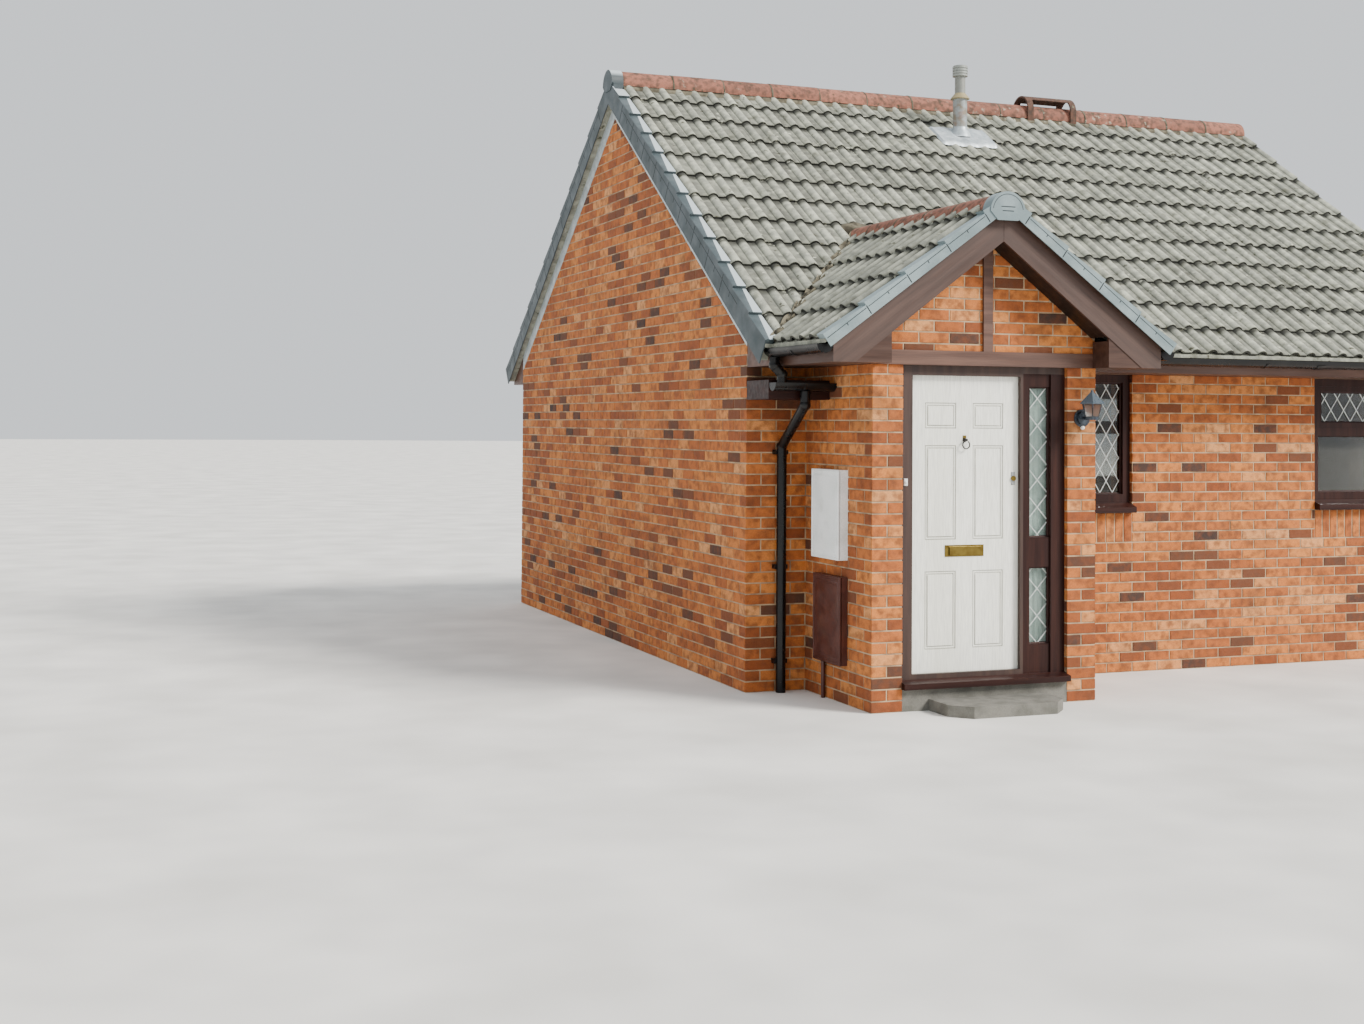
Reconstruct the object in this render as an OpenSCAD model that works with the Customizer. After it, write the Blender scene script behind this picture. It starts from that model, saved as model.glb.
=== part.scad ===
// Brick bungalow from the middle of a stepped row: one house between two plain party walls.
// Millimetres, +X along the front to the right, +Y to the back, +Z up.
// The origin is on the ground at the middle of the main block, without the porch.

/* [Main block] */
// Length of the front, party face to party face (29 bricks)
house_w = 6525; // [6300:225:7425]
// Depth of the main block, front face to rear face
house_d = 5962.5; // [5287.5:225:7312.5]
// Thickness of the front and rear walls
wall_t = 275; // [250:5:330]
// Thickness of the two party walls
party_t = 215; // [190:5:330]
// Thickness of the ceiling boards
ceiling_t = 15; // [12:1:24]
// How much higher the ceiling of the rooms lies than the eaves soffits and the porch ceiling
ceiling_up = 245; // [235:1:250]
// Height of the indoor floor
floor_z = 184; // [150:1:190]

/* [Porch] */
// From the left party face to the porch's left face (two bricks)
porch_x = 450; // [440:5:675]
// Width of the porch over its two side walls
porch_w = 1677.5; // [1660:2.5:1900]
// How far the porch stands out from the front wall
porch_d = 1012.5; // [980:2.5:1350]
// Thickness of the porch side walls, and width of the two piers
pier_w = 215; // [200:5:225]
// Thickness of the brick gable over the porch beam
gable_t = 102.5; // [90:2.5:140]
// Height of the timber beam over the door
beam_h = 95; // [70:5:150]
// How far the beam and the king post stand proud of the brickwork
beam_proud = 20; // [10:1:40]
// Width of the king post
post_w = 70; // [50:5:120]

/* [Roof] */
// Pitch of the main roof in degrees
main_pitch = 35; // [32:0.5:38]
// Pitch of the porch roof in degrees
porch_pitch = 36; // [34:0.5:38]
// Height of the tile surface at every eaves edge, above the soffits
eaves_h = 140; // [136:1:160]
// From a wall face out to the edge of the tiles
eaves_out = 455; // [445:5:480]
// From a wall face out to the front of the fascia
fascia_out = 380; // [360:5:385]
// Thickness of the layer of tiles and battens
tile_t = 20; // [16:1:26]
// Thickness of the whole roof slope, square to it
roof_t = 140; // [120:5:145]
// How far the main roof oversails the left party wall
verge_out = 60; // [40:5:90]
// How far the roof runs past the face of the right party wall
right_over = 10; // [6:1:40]
// Thickness of fascia, soffit and barge boards
board_t = 20; // [12:1:24]
// From the porch's brick face out to the front of the barge boards
barge_out = 209; // [180:1:260]
// Height of the barge boards' lower edge at the apex, above the soffits
barge_rise = 805; // [780:5:820]
// From the porch's middle out to where that edge meets the soffit
barge_foot = 1068; // [1040:2:1090]
// How much higher the boards under the overhang lie than the barge boards' edge
soffit_up = 8; // [0:1:15]
// How far the boxed feet of the barge boards reach in past the porch's side faces
box_in = 30; // [20:1:60]
// How far their faces lie behind the barge boards
board_in = 5; // [2:1:8]
// How far the tiles oversail the barge boards
barge_over = 40; // [25:1:60]
// Outer radius of the ridge tiles
ridge_r = 125; // [110:1:150]
// How high the main ridge tiles are bedded over the crest of the slopes
ridge_up = 60; // [20:1:80]
// How high the porch's ridge tiles are bedded over the crest of its slopes
porch_ridge_up = 4; // [0:1:40]
// How much higher the hood of the ridge vent stands than the ridge tiles
vent_rise = 74; // [60:1:100]
// Height of the slot under the hood
vent_slot_h = 43; // [25:1:60]
// Length of the hood
hood_l = 530; // [400:10:700]
// Length of each of the hood's feet
hood_foot = 62; // [40:2:100]
// Thickness of the hood
hood_t = 16; // [10:1:20]
// From the left party face to the middle of the ridge vent
hood_x = 4297; // [2800:1:5400]

/* [Verges] */
// Number of tile courses on a main slope, eaves to ridge
courses = 12; // [11:1:13]
// Width of a verge unit over the tiles
verge_w = 90; // [60:5:120]
// Height of a main verge unit's outer face, square to the slope
verge_h = 190; // [150:5:220]
// Height of a porch verge unit's outer face
porch_verge_h = 94; // [80:2:120]
// Thickness of the verge units' faces
verge_t = 8; // [5:1:12]
// How far the foot of a verge unit stands over the slope
verge_rise = 34; // [24:1:45]
// How far its head does, under the next unit
verge_low = 12; // [6:1:18]
// Width of the flat foot of the porch verge's apex cap
cap_w = 150; // [100:5:180]
// Depth of the apex cap under the ridge tiles' middle
cap_h = 58; // [40:2:80]

/* [Gutters and pipes] */
// Outer radius of the half-round gutters
gutter_r = 56; // [50:1:60]
// Wall thickness of gutters
gutter_t = 4; // [3:0.5:6]
// Height of the gutters' rims above the soffits
gutter_rise = 110; // [100:1:112]
// Outer radius of the downpipes
pipe_r = 34; // [30:1:40]
// How far the downpipes' bends stand proud of the pipe
socket_t = 4; // [2:1:8]
// How much lower the eaves box left of the porch hangs (three courses)
low_step = 225; // [205:5:300]

/* [Doorway] */
// Width of the door leaf
leaf_w = 838; // [762:1:860]
// Height of the door leaf
leaf_h = 1981; // [1950:1:1990]
// Thickness of the door leaf
leaf_t = 44; // [38:1:50]
// Gap between the door leaf and its frame
leaf_gap = 7; // [7:0.5:9]
// Thickness of the frame's head over the door leaf, up to the porch ceiling
head_t = 45; // [35:1:60]
// Height of the top of the door sill
sill_z = 199; // [195:1:215]
// Height of the timber door sill
sill_h = 55; // [40:5:75]
// From the brick face in to the front of the door frame
frame_in = 35; // [20:1:50]
// Depth of the stops in front of the door leaf
stop_d = 30; // [20:1:35]
// Width of the stops round the leaf's front
stop_w = 21; // [15:1:28]
// Height of the weather bar in front of the leaf's foot
bar_h = 31; // [20:1:40]
// Width of the left jamb, without its stop
jamb_w = 73; // [60:1:80]
// Width of the mullion between the door and its sidelight, without its stop
mullion_w = 49; // [40:1:60]
// Clear width of the sidelight beside the door
sidelight_w = 165; // [140:1:180]
// Height of the sidelight's bottom panel
side_low_h = 190; // [150:5:240]
// Height of the sidelight's lower pane
side_pane_h = 515; // [400:5:560]
// Height of the sidelight's middle panel
side_mid_h = 196; // [150:2:240]
// Height of the sidelight's top panel
side_top_h = 84; // [60:1:100]
// Thickness of the glass everywhere
glass_t = 6; // [4:1:10]

/* [Door leaf] */
// Radius of the hinge knuckles
hinge_r = 7; // [6:0.5:9]
// Length of the door's hinges
hinge_l = 100; // [75:1:120]
// Width of the door's edge and middle stiles
stile_w = 125; // [100:5:140]
// Depth of the panel mouldings
panel_in = 8; // [5:1:12]
// Width of a panel moulding
mould_w = 24; // [16:1:32]
// Length of the letter plate
plate_l = 290; // [250:5:320]
// Height of the letter plate
plate_h = 76; // [60:2:90]
// Height of the letter plate's middle above the leaf's foot
plate_z = 816; // [780:2:840]
// Thickness of the letter plate
plate_t = 4; // [3:0.5:6]
// Gap between the letter plate and its flap
flap_gap = 5; // [5:0.5:8]
// Height of the lock above the leaf's foot
lock_h = 1290; // [1200:5:1350]
// Height of the hook for a wreath above the leaf's foot
hook_h = 1535; // [1450:5:1580]

/* [Step] */
// Width of the door step
step_w = 850; // [700:10:1200]
// How far the step stands out from the porch
step_d = 373; // [300:1:450]
// Height of the step
step_h = 75; // [60:5:95]
// Cant of the step's front corners
step_cant = 120; // [40:5:150]

/* [Windows] */
// From the porch's right face to the small window
window_a_x = 322; // [315:1:500]
// Width of the small window
window_a_w = 705; // [450:5:800]
// From the big window to the inner face of the right party wall
window_b_x = 100; // [80:5:400]
// Width of the big window
window_b_w = 1340; // [1100:5:1600]
// Height of the underside of the window sills (16 courses)
window_z = 1200; // [1050:75:1350]
// Thickness of the projecting window sills
window_sill_h = 75; // [50:5:90]
// How far the window sills stand out
window_sill_out = 60; // [40:5:90]
// Width of the window frames' members
window_bar = 62; // [45:1:75]
// Depth of the window frames
window_d = 70; // [60:1:90]
// From the brick face in to the front of the window frames
window_in = 30; // [10:1:60]
// Height of the leaded fanlight in the big window
fanlight_h = 330; // [280:5:380]
// Width of the fanlight's own casement
casement_w = 42; // [30:1:50]

/* [Meter boxes] */
// From the porch's brick face back to the meter boxes
meter_y = 344; // [300:2:420]
// Width of the meter boxes
meter_w = 420; // [380:5:450]
// How far the electric meter box stands out from the wall
meter_out = 73; // [60:1:90]
// Height of the electric meter box
meter_h = 595; // [560:5:620]
// Height of the electric meter box's foot
meter_z = 951; // [900:1:1000]
// Height of the gas meter box
gas_h = 582; // [540:2:600]
// Height of the gas meter box's foot
gas_z = 257; // [240:1:290]
// How much shallower the gas meter box is
gas_less = 14; // [0:1:20]
// Radius of the gas pipe under its box
gas_pipe_r = 14; // [9:1:17]
// Wall thickness of the meter boxes and their doors
meter_t = 8; // [6:1:12]
// Gap between a meter box and its door
meter_gap = 5; // [5:0.5:8]

/* [Lantern and flue] */
// Height of the lantern's wall plate under the soffits
lantern_drop = 338; // [250:1:420]
// From the wall to the lantern's axis
lantern_out = 125; // [110:1:160]
// Radius of the lantern's roof
lantern_r = 88; // [70:1:100]
// Radius of the lantern's wall plate
lantern_plate_r = 60; // [45:1:75]
// Height of the lantern's glass
lantern_glass_h = 83; // [60:1:110]
// Height of the lantern's roof
lantern_roof_h = 84; // [60:1:110]
// From the left party face to the flue pipe
flue_in = 3090; // [2600:10:4400]
// Distance of the flue pipe from the ridge line, measured on the plan
flue_y = 510; // [400:10:700]
// Radius of the lead sleeve round the flue pipe
sleeve_r = 63; // [55:1:80]
// Height of the lead sleeve
sleeve_h = 350; // [300:5:420]
// Radius of the flue pipe
flue_r = 47; // [40:1:50]
// Height of the flue pipe's top above the roof at its axis
flue_h = 650; // [600:5:700]
// Height of the ringed terminal on it
terminal_h = 96; // [80:4:120]
// Radius of the terminal
terminal_r = 68; // [60:1:75]

/* [Hidden] */
$fn = 48;

far = 20000;
// Gap between pieces that lie on each other on a slope
seat = 0.1;
// Radius of the caps that close the ridges at the verges, and how far they stand proud of the units
cap_r = ridge_r + 5;
cap_out = 6;
// How far the verge units' lips start up the slope from the foot of their faces
lip_in = 2;
// Half the open joint between the two barge boards
half_joint = 1;
// Heights over the door, of the soffits and of the tiles' edges
leaf_z = sill_z + leaf_gap;
head_z = leaf_z + leaf_h + leaf_gap;
soffit_z = head_z + head_t;
tile_z = soffit_z + eaves_h;
// Faces of the main block
x0 = -house_w / 2;
x1 = house_w / 2;
y0 = -house_d / 2;
y1 = house_d / 2;
// Inner faces of the main walls
xi0 = x0 + party_t;
xi1 = x1 - party_t;
yi0 = y0 + wall_t;
yi1 = y1 - wall_t;
// Porch: outer faces, inner faces, middle and brick face
px0 = x0 + porch_x;
px1 = px0 + porch_w;
pi0 = px0 + pier_w;
pi1 = px1 - pier_w;
pm = (px0 + px1) / 2;
py = y0 - porch_d;
// Eaves lines of the tiles, and back faces of the fascias
ye = y0 - eaves_out;
xe0 = px0 - eaves_out;
xe1 = px1 + eaves_out;
back_out = fascia_out - board_t;
// End of the roof past the right party wall
xr = x1 + right_over;
fascia_top = tile_z + (eaves_out - fascia_out) * tan(min(main_pitch, porch_pitch)) - tile_v(main_pitch) - 4;
barge_y = py - barge_out;
barge_z = soffit_z + barge_rise;
// Slope of the barge boards' lower edge
barge_slope = barge_rise / barge_foot;
verge_y = barge_y - barge_over;
gutter_z = soffit_z + gutter_rise;
gutter_out = fascia_out + gutter_r;
// Windows: vertical extent, and left edges
win_z0 = window_z + window_sill_h;
win_ax = px1 + window_a_x;
win_bx = xi1 - window_b_x - window_b_w;
// Door: rebate edges, leaf corner and planes
stop_y = py + frame_in;
leaf_x = pi0 + jamb_w + leaf_gap;
leaf_y = stop_y + stop_d + leaf_gap;
mullion_x = leaf_x + leaf_w + leaf_gap;
frame_y1 = leaf_y + leaf_t;
sidelight_x = mullion_x + mullion_w;
// Hinge pins: of the door, behind its left edge, and of the meter doors, behind their far edge
hinge_x = leaf_x - leaf_gap / 2;
hinge_y = frame_y1 + hinge_r;
hinge_zs = [leaf_z + 200, leaf_z + leaf_h / 2, leaf_z + leaf_h - 200];
// Lantern and flue
lead_t = 4;
knuckle_gap = 0.3;
lantern_x = (pi1 + px1) / 2;
lantern_z = soffit_z - lantern_drop;
flue_x = x0 + flue_in;
// Outer face of the main verge, and length of a tile course up the slope
verge_x = x0 - verge_out;
gauge = (y1 + eaves_out) / cos(main_pitch) / courses;

// Vertical thickness of the tile layer, and of the whole slope, at a pitch
function tile_v(pitch) = tile_t / cos(pitch);
function roof_v(pitch) = roof_t / cos(pitch);
// Height of the main roof's tiled surface over the plan line y
function main_top(y) = tile_z + (y1 + eaves_out - abs(y)) * tan(main_pitch);
// Height of the porch roof's tiled surface over the plan line x
function porch_top(x) = tile_z + (porch_w / 2 + eaves_out - abs(x - pm)) * tan(porch_pitch);
// Undersides of both roofs
function main_under(y) = main_top(y) - roof_v(main_pitch);
function porch_under(x) = porch_top(x) - roof_v(porch_pitch);
ridge_z = main_top(0);
porch_ridge_z = porch_top(pm);
// Where the porch's tiles meet the main roof's, going back from the eaves by dy
function valley_dx(dy) = dy * tan(main_pitch) / tan(porch_pitch);

// A box between two corners
module block(a, b) {
    translate(a) cube([b[0] - a[0], b[1] - a[1], b[2] - a[2]]);
}

// An outline in Y and Z, carried along X from one place to another
module along_x(from, to) {
    translate([from, 0, 0]) rotate([90, 0, 90]) linear_extrude(to - from) children();
}

// An outline in X and Z, carried along Y from one place to another
module along_y(from, to) {
    translate([0, to, 0]) rotate([90, 0, 0]) linear_extrude(to - from) children();
}

// The same thing on both slopes of the porch
module both_sides() {
    children();
    translate([2 * pm, 0, 0]) mirror([1, 0, 0]) children();
}

module floor_slab() {
    color("darkgray") {
        block([xi0, yi0, 0], [xi1, yi1, floor_z]);
        block([pi0, py, 0], [pi1, yi0, sill_z - sill_h]);
        block([pi0, frame_y1, 0], [pi1, yi0, floor_z]);
    }
}

module ceiling() {
    color("whitesmoke") {
        block([xi0, yi0, soffit_z + ceiling_up], [xi1, yi1, soffit_z + ceiling_up + ceiling_t]);
        block([pi0, py + gable_t, soffit_z], [pi1, yi0, soffit_z + ceiling_t]);
    }
}

module front_wall_left() {
    color("indianred") block([xi0, y0, 0], [pi0, yi0, main_under(y0)]);
}

module front_wall_head() {
    color("indianred") block([pi0, y0, soffit_z + ceiling_t], [pi1, yi0, main_under(y0)]);
}

// One window's hole through a wall, down to the underside of its sill
module window_hole(x, w, ya, yb) {
    block([x, ya - 1, window_z], [x + w, yb + 1, soffit_z]);
}

module front_wall_right() {
    color("indianred") difference() {
        block([pi1, y0, 0], [xi1, yi0, main_under(y0)]);
        window_hole(win_ax, window_a_w, y0, yi0);
        window_hole(win_bx, window_b_w, y0, yi0);
    }
}

module rear_wall() {
    color("indianred") difference() {
        block([xi0, yi1, 0], [xi1, y1, main_under(y0)]);
        window_hole(win_ax, window_a_w, yi1, y1);
        window_hole(win_bx, window_b_w, yi1, y1);
    }
}

// Outline of a party wall: up to the undersides of both slopes
module party_outline() {
    top = main_under(y0) - seat;
    polygon([[y0, 0], [y1, 0], [y1, top], [0, main_under(0) - seat], [y0, top]]);
}

module left_party_wall() {
    color("indianred") along_x(x0, xi0) party_outline();
}

module right_party_wall() {
    color("indianred") along_x(xi1, x1) party_outline();
}

// A porch side wall, notched at the front where the beam and the gable bear on it
module porch_wall(from) {
    top = porch_under(px0);
    along_x(from, from + pier_w) polygon([[py, 0], [y0, 0], [y0, top], [py + gable_t, top],
        [py + gable_t, soffit_z], [py, soffit_z]]);
}

module porch_left_wall() {
    color("indianred") porch_wall(px0);
}

module porch_right_wall() {
    color("indianred") porch_wall(pi1);
}

module porch_gable_wall() {
    foot = soffit_z + beam_h;
    top = porch_under(px0) - seat;
    color("indianred") along_y(py, py + gable_t) polygon([[px0, foot], [px1, foot], [px1, top],
        [pm, porch_under(pm) - seat], [px0, top]]);
}

// Outline of one main slope: the tile layer runs out past the fascia, the rafters stop behind it
module main_slope_outline() {
    yb = y0 - back_out;
    polygon([[ye, main_top(ye)], [0, ridge_z], [0, main_under(0)], [yb, main_under(yb)],
        [yb, main_top(yb) - tile_v(main_pitch)], [ye, main_top(ye) - tile_v(main_pitch)]]);
}

// The part of the front overhang that the porch roof takes the place of
module porch_notch() {
    dx = valley_dx(eaves_out);
    translate([0, 0, soffit_z]) linear_extrude(ridge_z) polygon([[xe0, ye], [xe0 + dx, y0],
        [xe1 - dx, y0], [xe1, ye], [xe1, ye - eaves_out], [xe0, ye - eaves_out]]);
}

module main_roof_front() {
    color("darkkhaki") difference() {
        along_x(verge_x, xr) main_slope_outline();
        porch_notch();
    }
}

module main_roof_rear() {
    color("darkkhaki") mirror([0, 1, 0]) along_x(verge_x, xr) main_slope_outline();
}

// Everything under the main roof's front slope, from the plan line y back to the ridge
module under_main(y) {
    along_x(verge_x, xr) polygon([[y, 0], [0, 0], [0, ridge_z + seat], [y, main_top(y) + seat]]);
}

// What lies outside the left valley, in front of the main block
module beyond_valley() {
    translate([seat, 0, soffit_z]) linear_extrude(ridge_z) polygon([[xe0 - 10, ye], [xe0, ye],
        [xe0 + valley_dx(eaves_out), y0], [xe0 - 10, y0]]);
}

// One porch slope before it is cut to the main roof
module porch_slope() {
    xb = px0 - back_out;
    tv = tile_v(porch_pitch);
    along_y(verge_y, 0) polygon([[xe0, porch_top(xe0)], [pm, porch_ridge_z],
        [pm, porch_ridge_z - tv], [xe0, porch_top(xe0) - tv]]);
    along_y(barge_y + board_t, 0) polygon([[xb, porch_top(xb) - tv], [pm, porch_ridge_z - tv],
        [pm, porch_under(pm)], [xb, porch_under(xb)]]);
}

// One porch slope, laid over the main roof's front slope
module cut_porch_slope() {
    difference() {
        porch_slope();
        under_main(y0);
        beyond_valley();
    }
}

module porch_roof_left() {
    color("darkkhaki") cut_porch_slope();
}

module porch_roof_right() {
    color("darkkhaki") translate([2 * pm, 0, 0]) mirror([1, 0, 0]) cut_porch_slope();
}

// The two slopes under a ridge at 0, as an outline to cut away
module slopes_outline(pitch) {
    w = 2 * ridge_r;
    translate([0, seat]) polygon([[-w, -w * tan(pitch)], [0, 0], [w, -w * tan(pitch)], [w, -2 * w],
        [-w, -2 * w]]);
}

// Height of a ridge tile's middle over the crest of its slopes
function ridge_mid(pitch, up) = up - ridge_r * tan(pitch);

// A half-round ridge tile on its mortar, bedded down on both slopes
module ridge_outline(pitch, up, r) {
    mid = ridge_mid(pitch, up);
    difference() {
        union() {
            translate([0, mid]) circle(r);
            translate([1 - r, mid - r]) square([2 * r - 2, r + 1]);
        }
        slopes_outline(pitch);
    }
}

// The hood of the ridge vent: a larger half-round, raised, with its sides down to the slopes
module hood_outline() {
    mid = ridge_mid(main_pitch, ridge_up) + vent_rise;
    r = ridge_r + hood_t;
    inner = ridge_r + seat;
    difference() {
        union() {
            translate([0, mid]) circle(r);
            translate([-r, -ridge_r]) square([2 * r, mid + ridge_r]);
        }
        translate([0, mid]) circle(inner);
        translate([-inner, -2 * ridge_r]) square([2 * inner, mid + 2 * ridge_r]);
        slopes_outline(main_pitch);
    }
}

module ridge_tiles() {
    color("indianred") {
        along_x(verge_x + verge_w, xr) translate([0, ridge_z]) ridge_outline(main_pitch, ridge_up, ridge_r);
        difference() {
            along_y(verge_y + verge_w, 0) translate([pm, porch_ridge_z])
                ridge_outline(porch_pitch, porch_ridge_up, ridge_r);
            under_main(y0);
        }
    }
}

module ridge_vent() {
    xa = x0 + hood_x - hood_l / 2;
    xb = xa + hood_l;
    crown = ridge_z + ridge_mid(main_pitch, ridge_up) + ridge_r;
    color("firebrick") difference() {
        along_x(xa, xb) translate([0, ridge_z]) hood_outline();
        block([xa + hood_foot, -2 * ridge_r, crown - 2 * ridge_r],
            [xb - hood_foot, 2 * ridge_r, crown + vent_slot_h]);
    }
}

// A point on a slope: so far up from its eaves edge, and so far out square to it
function on_slope(p, pitch) = [p[0] * cos(pitch) - p[1] * sin(pitch), p[0] * sin(pitch) + p[1] * cos(pitch)];

// The stepped upper edge of the verge units on a slope of length l, each unit lapping the one above
function unit_steps(foot, l) = [for (i = [0 : ceil(l / gauge) - 1], end = [0, 1])
    [max(foot, min((i + end) * gauge, l)), end == 0 ? verge_rise : verge_low]];

// Verge units seen square to the verge, from foot to l up the slope and down to the height low over it
module unit_outline(pitch, foot, l, low) {
    polygon([for (p = concat([[foot, low]], unit_steps(foot, l), [[l, low]])) on_slope(p, pitch)]);
}

// Outer face of the units on a slope of length l, stopped at the ridge line
module face_outline(pitch, l, h) {
    intersection() {
        unit_outline(pitch, 0, l, verge_rise - h);
        translate([-far, -far]) square([far + l * cos(pitch) - seat, 2 * far]);
    }
}

// Top of the units, up to the cap on the ridge
module lip_outline(pitch, l) {
    unit_outline(pitch, lip_in, l - (cap_r + 1) / cos(pitch), seat);
}

// Face of the cap that closes a ridge: half round, drawn in to a flat foot
module cap_outline(pitch, up, r) {
    w = cap_w / 2;
    top = w + (cap_h + r + 1) * (r - w) / cap_h;
    translate([0, ridge_mid(pitch, up)]) intersection() {
        circle(r);
        polygon([[-w, -cap_h], [w, -cap_h], [top, r + 1], [-top, r + 1]]);
    }
}

module left_verge() {
    slope_l = (y1 + eaves_out) / cos(main_pitch);
    color("darkslategray") difference() {
        union() {
            for (back = [0, 1]) mirror([0, back, 0]) {
                along_x(verge_x - verge_t, verge_x) translate([ye, tile_z])
                    face_outline(main_pitch, slope_l, verge_h);
                along_x(verge_x, verge_x + verge_w) translate([ye, tile_z])
                    lip_outline(main_pitch, slope_l);
            }
            along_x(verge_x - verge_t - cap_out, verge_x) translate([0, ridge_z])
                cap_outline(main_pitch, ridge_up, cap_r);
            along_x(verge_x, verge_x + verge_w) translate([0, ridge_z])
                ridge_outline(main_pitch, ridge_up, cap_r);
        }
        porch_notch();
    }
}

module porch_verge() {
    slope_l = (porch_w / 2 + eaves_out) / cos(porch_pitch);
    color("lightsteelblue") {
        both_sides() {
            along_y(verge_y - verge_t, verge_y) translate([xe0, tile_z])
                face_outline(porch_pitch, slope_l, porch_verge_h);
            along_y(verge_y, verge_y + verge_w) translate([xe0, tile_z])
                lip_outline(porch_pitch, slope_l);
        }
        along_y(verge_y - verge_t - cap_out, verge_y) translate([pm, porch_ridge_z])
            cap_outline(porch_pitch, porch_ridge_up, cap_r);
        along_y(verge_y, verge_y + verge_w) translate([pm, porch_ridge_z])
            ridge_outline(porch_pitch, porch_ridge_up, cap_r);
    }
}

// One barge board: plumb at its eaves end, level along the soffit
module barge_board() {
    xo = px0 - fascia_out;
    xj = pm - half_joint;
    drop = tile_v(porch_pitch) + seat;
    along_y(barge_y, barge_y + board_t) polygon([[xj, barge_z - half_joint * barge_slope],
        [xj, porch_top(xj) - drop], [xo, porch_top(xo) - drop], [xo, soffit_z], [pm - barge_foot, soffit_z]]);
}

module barge_boards() {
    color("sienna") both_sides() barge_board();
}

// The boxed foot of a barge board: a face under the board, and a cheek back to the wall
module porch_soffits() {
    xc = px0 + box_in;
    foot = pm - barge_foot;
    top = soffit_z + (xc - foot) * barge_slope;
    z = barge_z + soffit_up;
    zc = z - (pm - xc) * barge_slope;
    color("sienna") {
        both_sides() {
            along_y(barge_y + board_in, barge_y + board_t)
                polygon([[foot, soffit_z], [xc, soffit_z], [xc, top]]);
            block([xc - board_t, barge_y + board_in, soffit_z], [xc, py - beam_proud, top - board_t]);
            along_y(barge_y + board_t, py)
                polygon([[pm, z], [pm, z + board_t], [xc, zc + board_t], [xc, zc]]);
        }
    }
}

module gable_frame() {
    foot = soffit_z + beam_h;
    top = barge_z + soffit_up - post_w / 2 * barge_slope - seat;
    color("sienna") {
        block([px0, py - beam_proud, soffit_z], [px1, py + gable_t, foot]);
        block([pm - post_w / 2, py - beam_proud, foot], [pm + post_w / 2, py, top]);
    }
}

// Fascia and soffit in section, wall face at 0, reaching out to the left
module eaves_outline(top) {
    polygon([[0, soffit_z], [0, soffit_z + board_t], [-back_out, soffit_z + board_t],
        [-back_out, top], [-fascia_out, top], [-fascia_out, soffit_z]]);
}

// A board that closes the end of a run of eaves, up to the roof's underside
module eaves_end(x) {
    yb = y0 - back_out;
    along_x(x, x + board_t) polygon([[y0, soffit_z], [yb, soffit_z], [yb, main_under(yb) - seat],
        [y0, main_under(y0) - seat]]);
}

module main_eaves() {
    color("saddlebrown") {
        along_x(px1 + back_out, xr) translate([y0, 0]) eaves_outline(fascia_top);
        block([px1, y0 - fascia_out, soffit_z], [px1 + back_out, y0, soffit_z + board_t]);
        eaves_end(xr - board_t);
        along_x(x0, px0 - back_out) translate([y0, 0]) eaves_outline(fascia_top);
        block([px0 - back_out, y0 - fascia_out, soffit_z], [px0, y0, soffit_z + board_t]);
        eaves_end(x0);
        mirror([0, 1, 0]) {
            along_x(x0, xr) translate([y0, 0]) eaves_outline(fascia_top);
            eaves_end(x0);
            eaves_end(xr - board_t);
        }
    }
}

module porch_eaves() {
    color("saddlebrown") both_sides() along_y(barge_y + board_t, y0 - fascia_out) translate([px0, 0])
        eaves_outline(fascia_top);
}

// The lower neighbour's eaves box, carried on to the porch wall, with its lead top
module low_eaves_box() {
    z = soffit_z - low_step;
    top = z + gutter_rise + 20;
    color("saddlebrown") along_x(x0, px0) polygon([[y0, z], [y0, z + board_t],
        [y0 - back_out, z + board_t], [y0 - back_out, top - board_t], [y0, top - board_t], [y0, top],
        [y0 - fascia_out, top], [y0 - fascia_out, z]]);
}

// The half-round gutter in section: full shape or the channel inside it, rim at height 0
module gutter_outline(inside) {
    r = inside ? gutter_r - gutter_t : gutter_r;
    difference() {
        circle(r);
        translate([-r - 1, inside ? gutter_t : 0]) square([2 * r + 2, 2 * r]);
    }
}

// A gutter with closed ends along X, its middle over the plan line y
module gutter_x(from, to, y, z) {
    difference() {
        along_x(from, to) translate([y, z]) gutter_outline(false);
        along_x(from + gutter_t, to - gutter_t) translate([y, z]) gutter_outline(true);
    }
}

// A gutter with closed ends along Y, its middle over the plan line x
module gutter_y(from, to, x, z) {
    difference() {
        along_y(from, to) translate([x, z]) gutter_outline(false);
        along_y(from + gutter_t, to - gutter_t) translate([x, z]) gutter_outline(true);
    }
}

module main_gutters() {
    color("dimgray") {
        gutter_x(px1 + fascia_out, xr, y0 - gutter_out, gutter_z);
        gutter_x(x0, xr, y1 + gutter_out, gutter_z);
        gutter_x(x0, px0, y0 - gutter_out, gutter_z - low_step);
    }
}

module porch_gutters() {
    color("dimgray") {
        gutter_y(barge_y, y0 - gutter_out - gutter_r, px1 + gutter_out, gutter_z);
        gutter_y(barge_y, y0 - fascia_out, px0 - gutter_out, gutter_z);
    }
}

// The elbow that drops the porch's left gutter into the low gutter
module porch_outlet() {
    x = px0 - gutter_out;
    y = y0 - gutter_out;
    foot = gutter_z - low_step;
    bend = foot + low_step - gutter_r - 54;
    pipe([x, y, gutter_z - gutter_r], [x, y, bend]);
    pipe([x, y, bend], [x + 55, y, bend - 60]);
    translate([x + 55, y, foot - 20]) cylinder(r = pipe_r, h = bend - 60 - foot + 20);
}

// A pipe between two points, with a round socket over the bend at its far end
module pipe(a, b) {
    v = b - a;
    l = norm(v);
    translate(a) rotate([0, acos(v[2] / l), atan2(v[1], v[0])]) cylinder(r = pipe_r, h = l);
    translate(b) sphere(pipe_r + socket_t);
}

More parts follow.
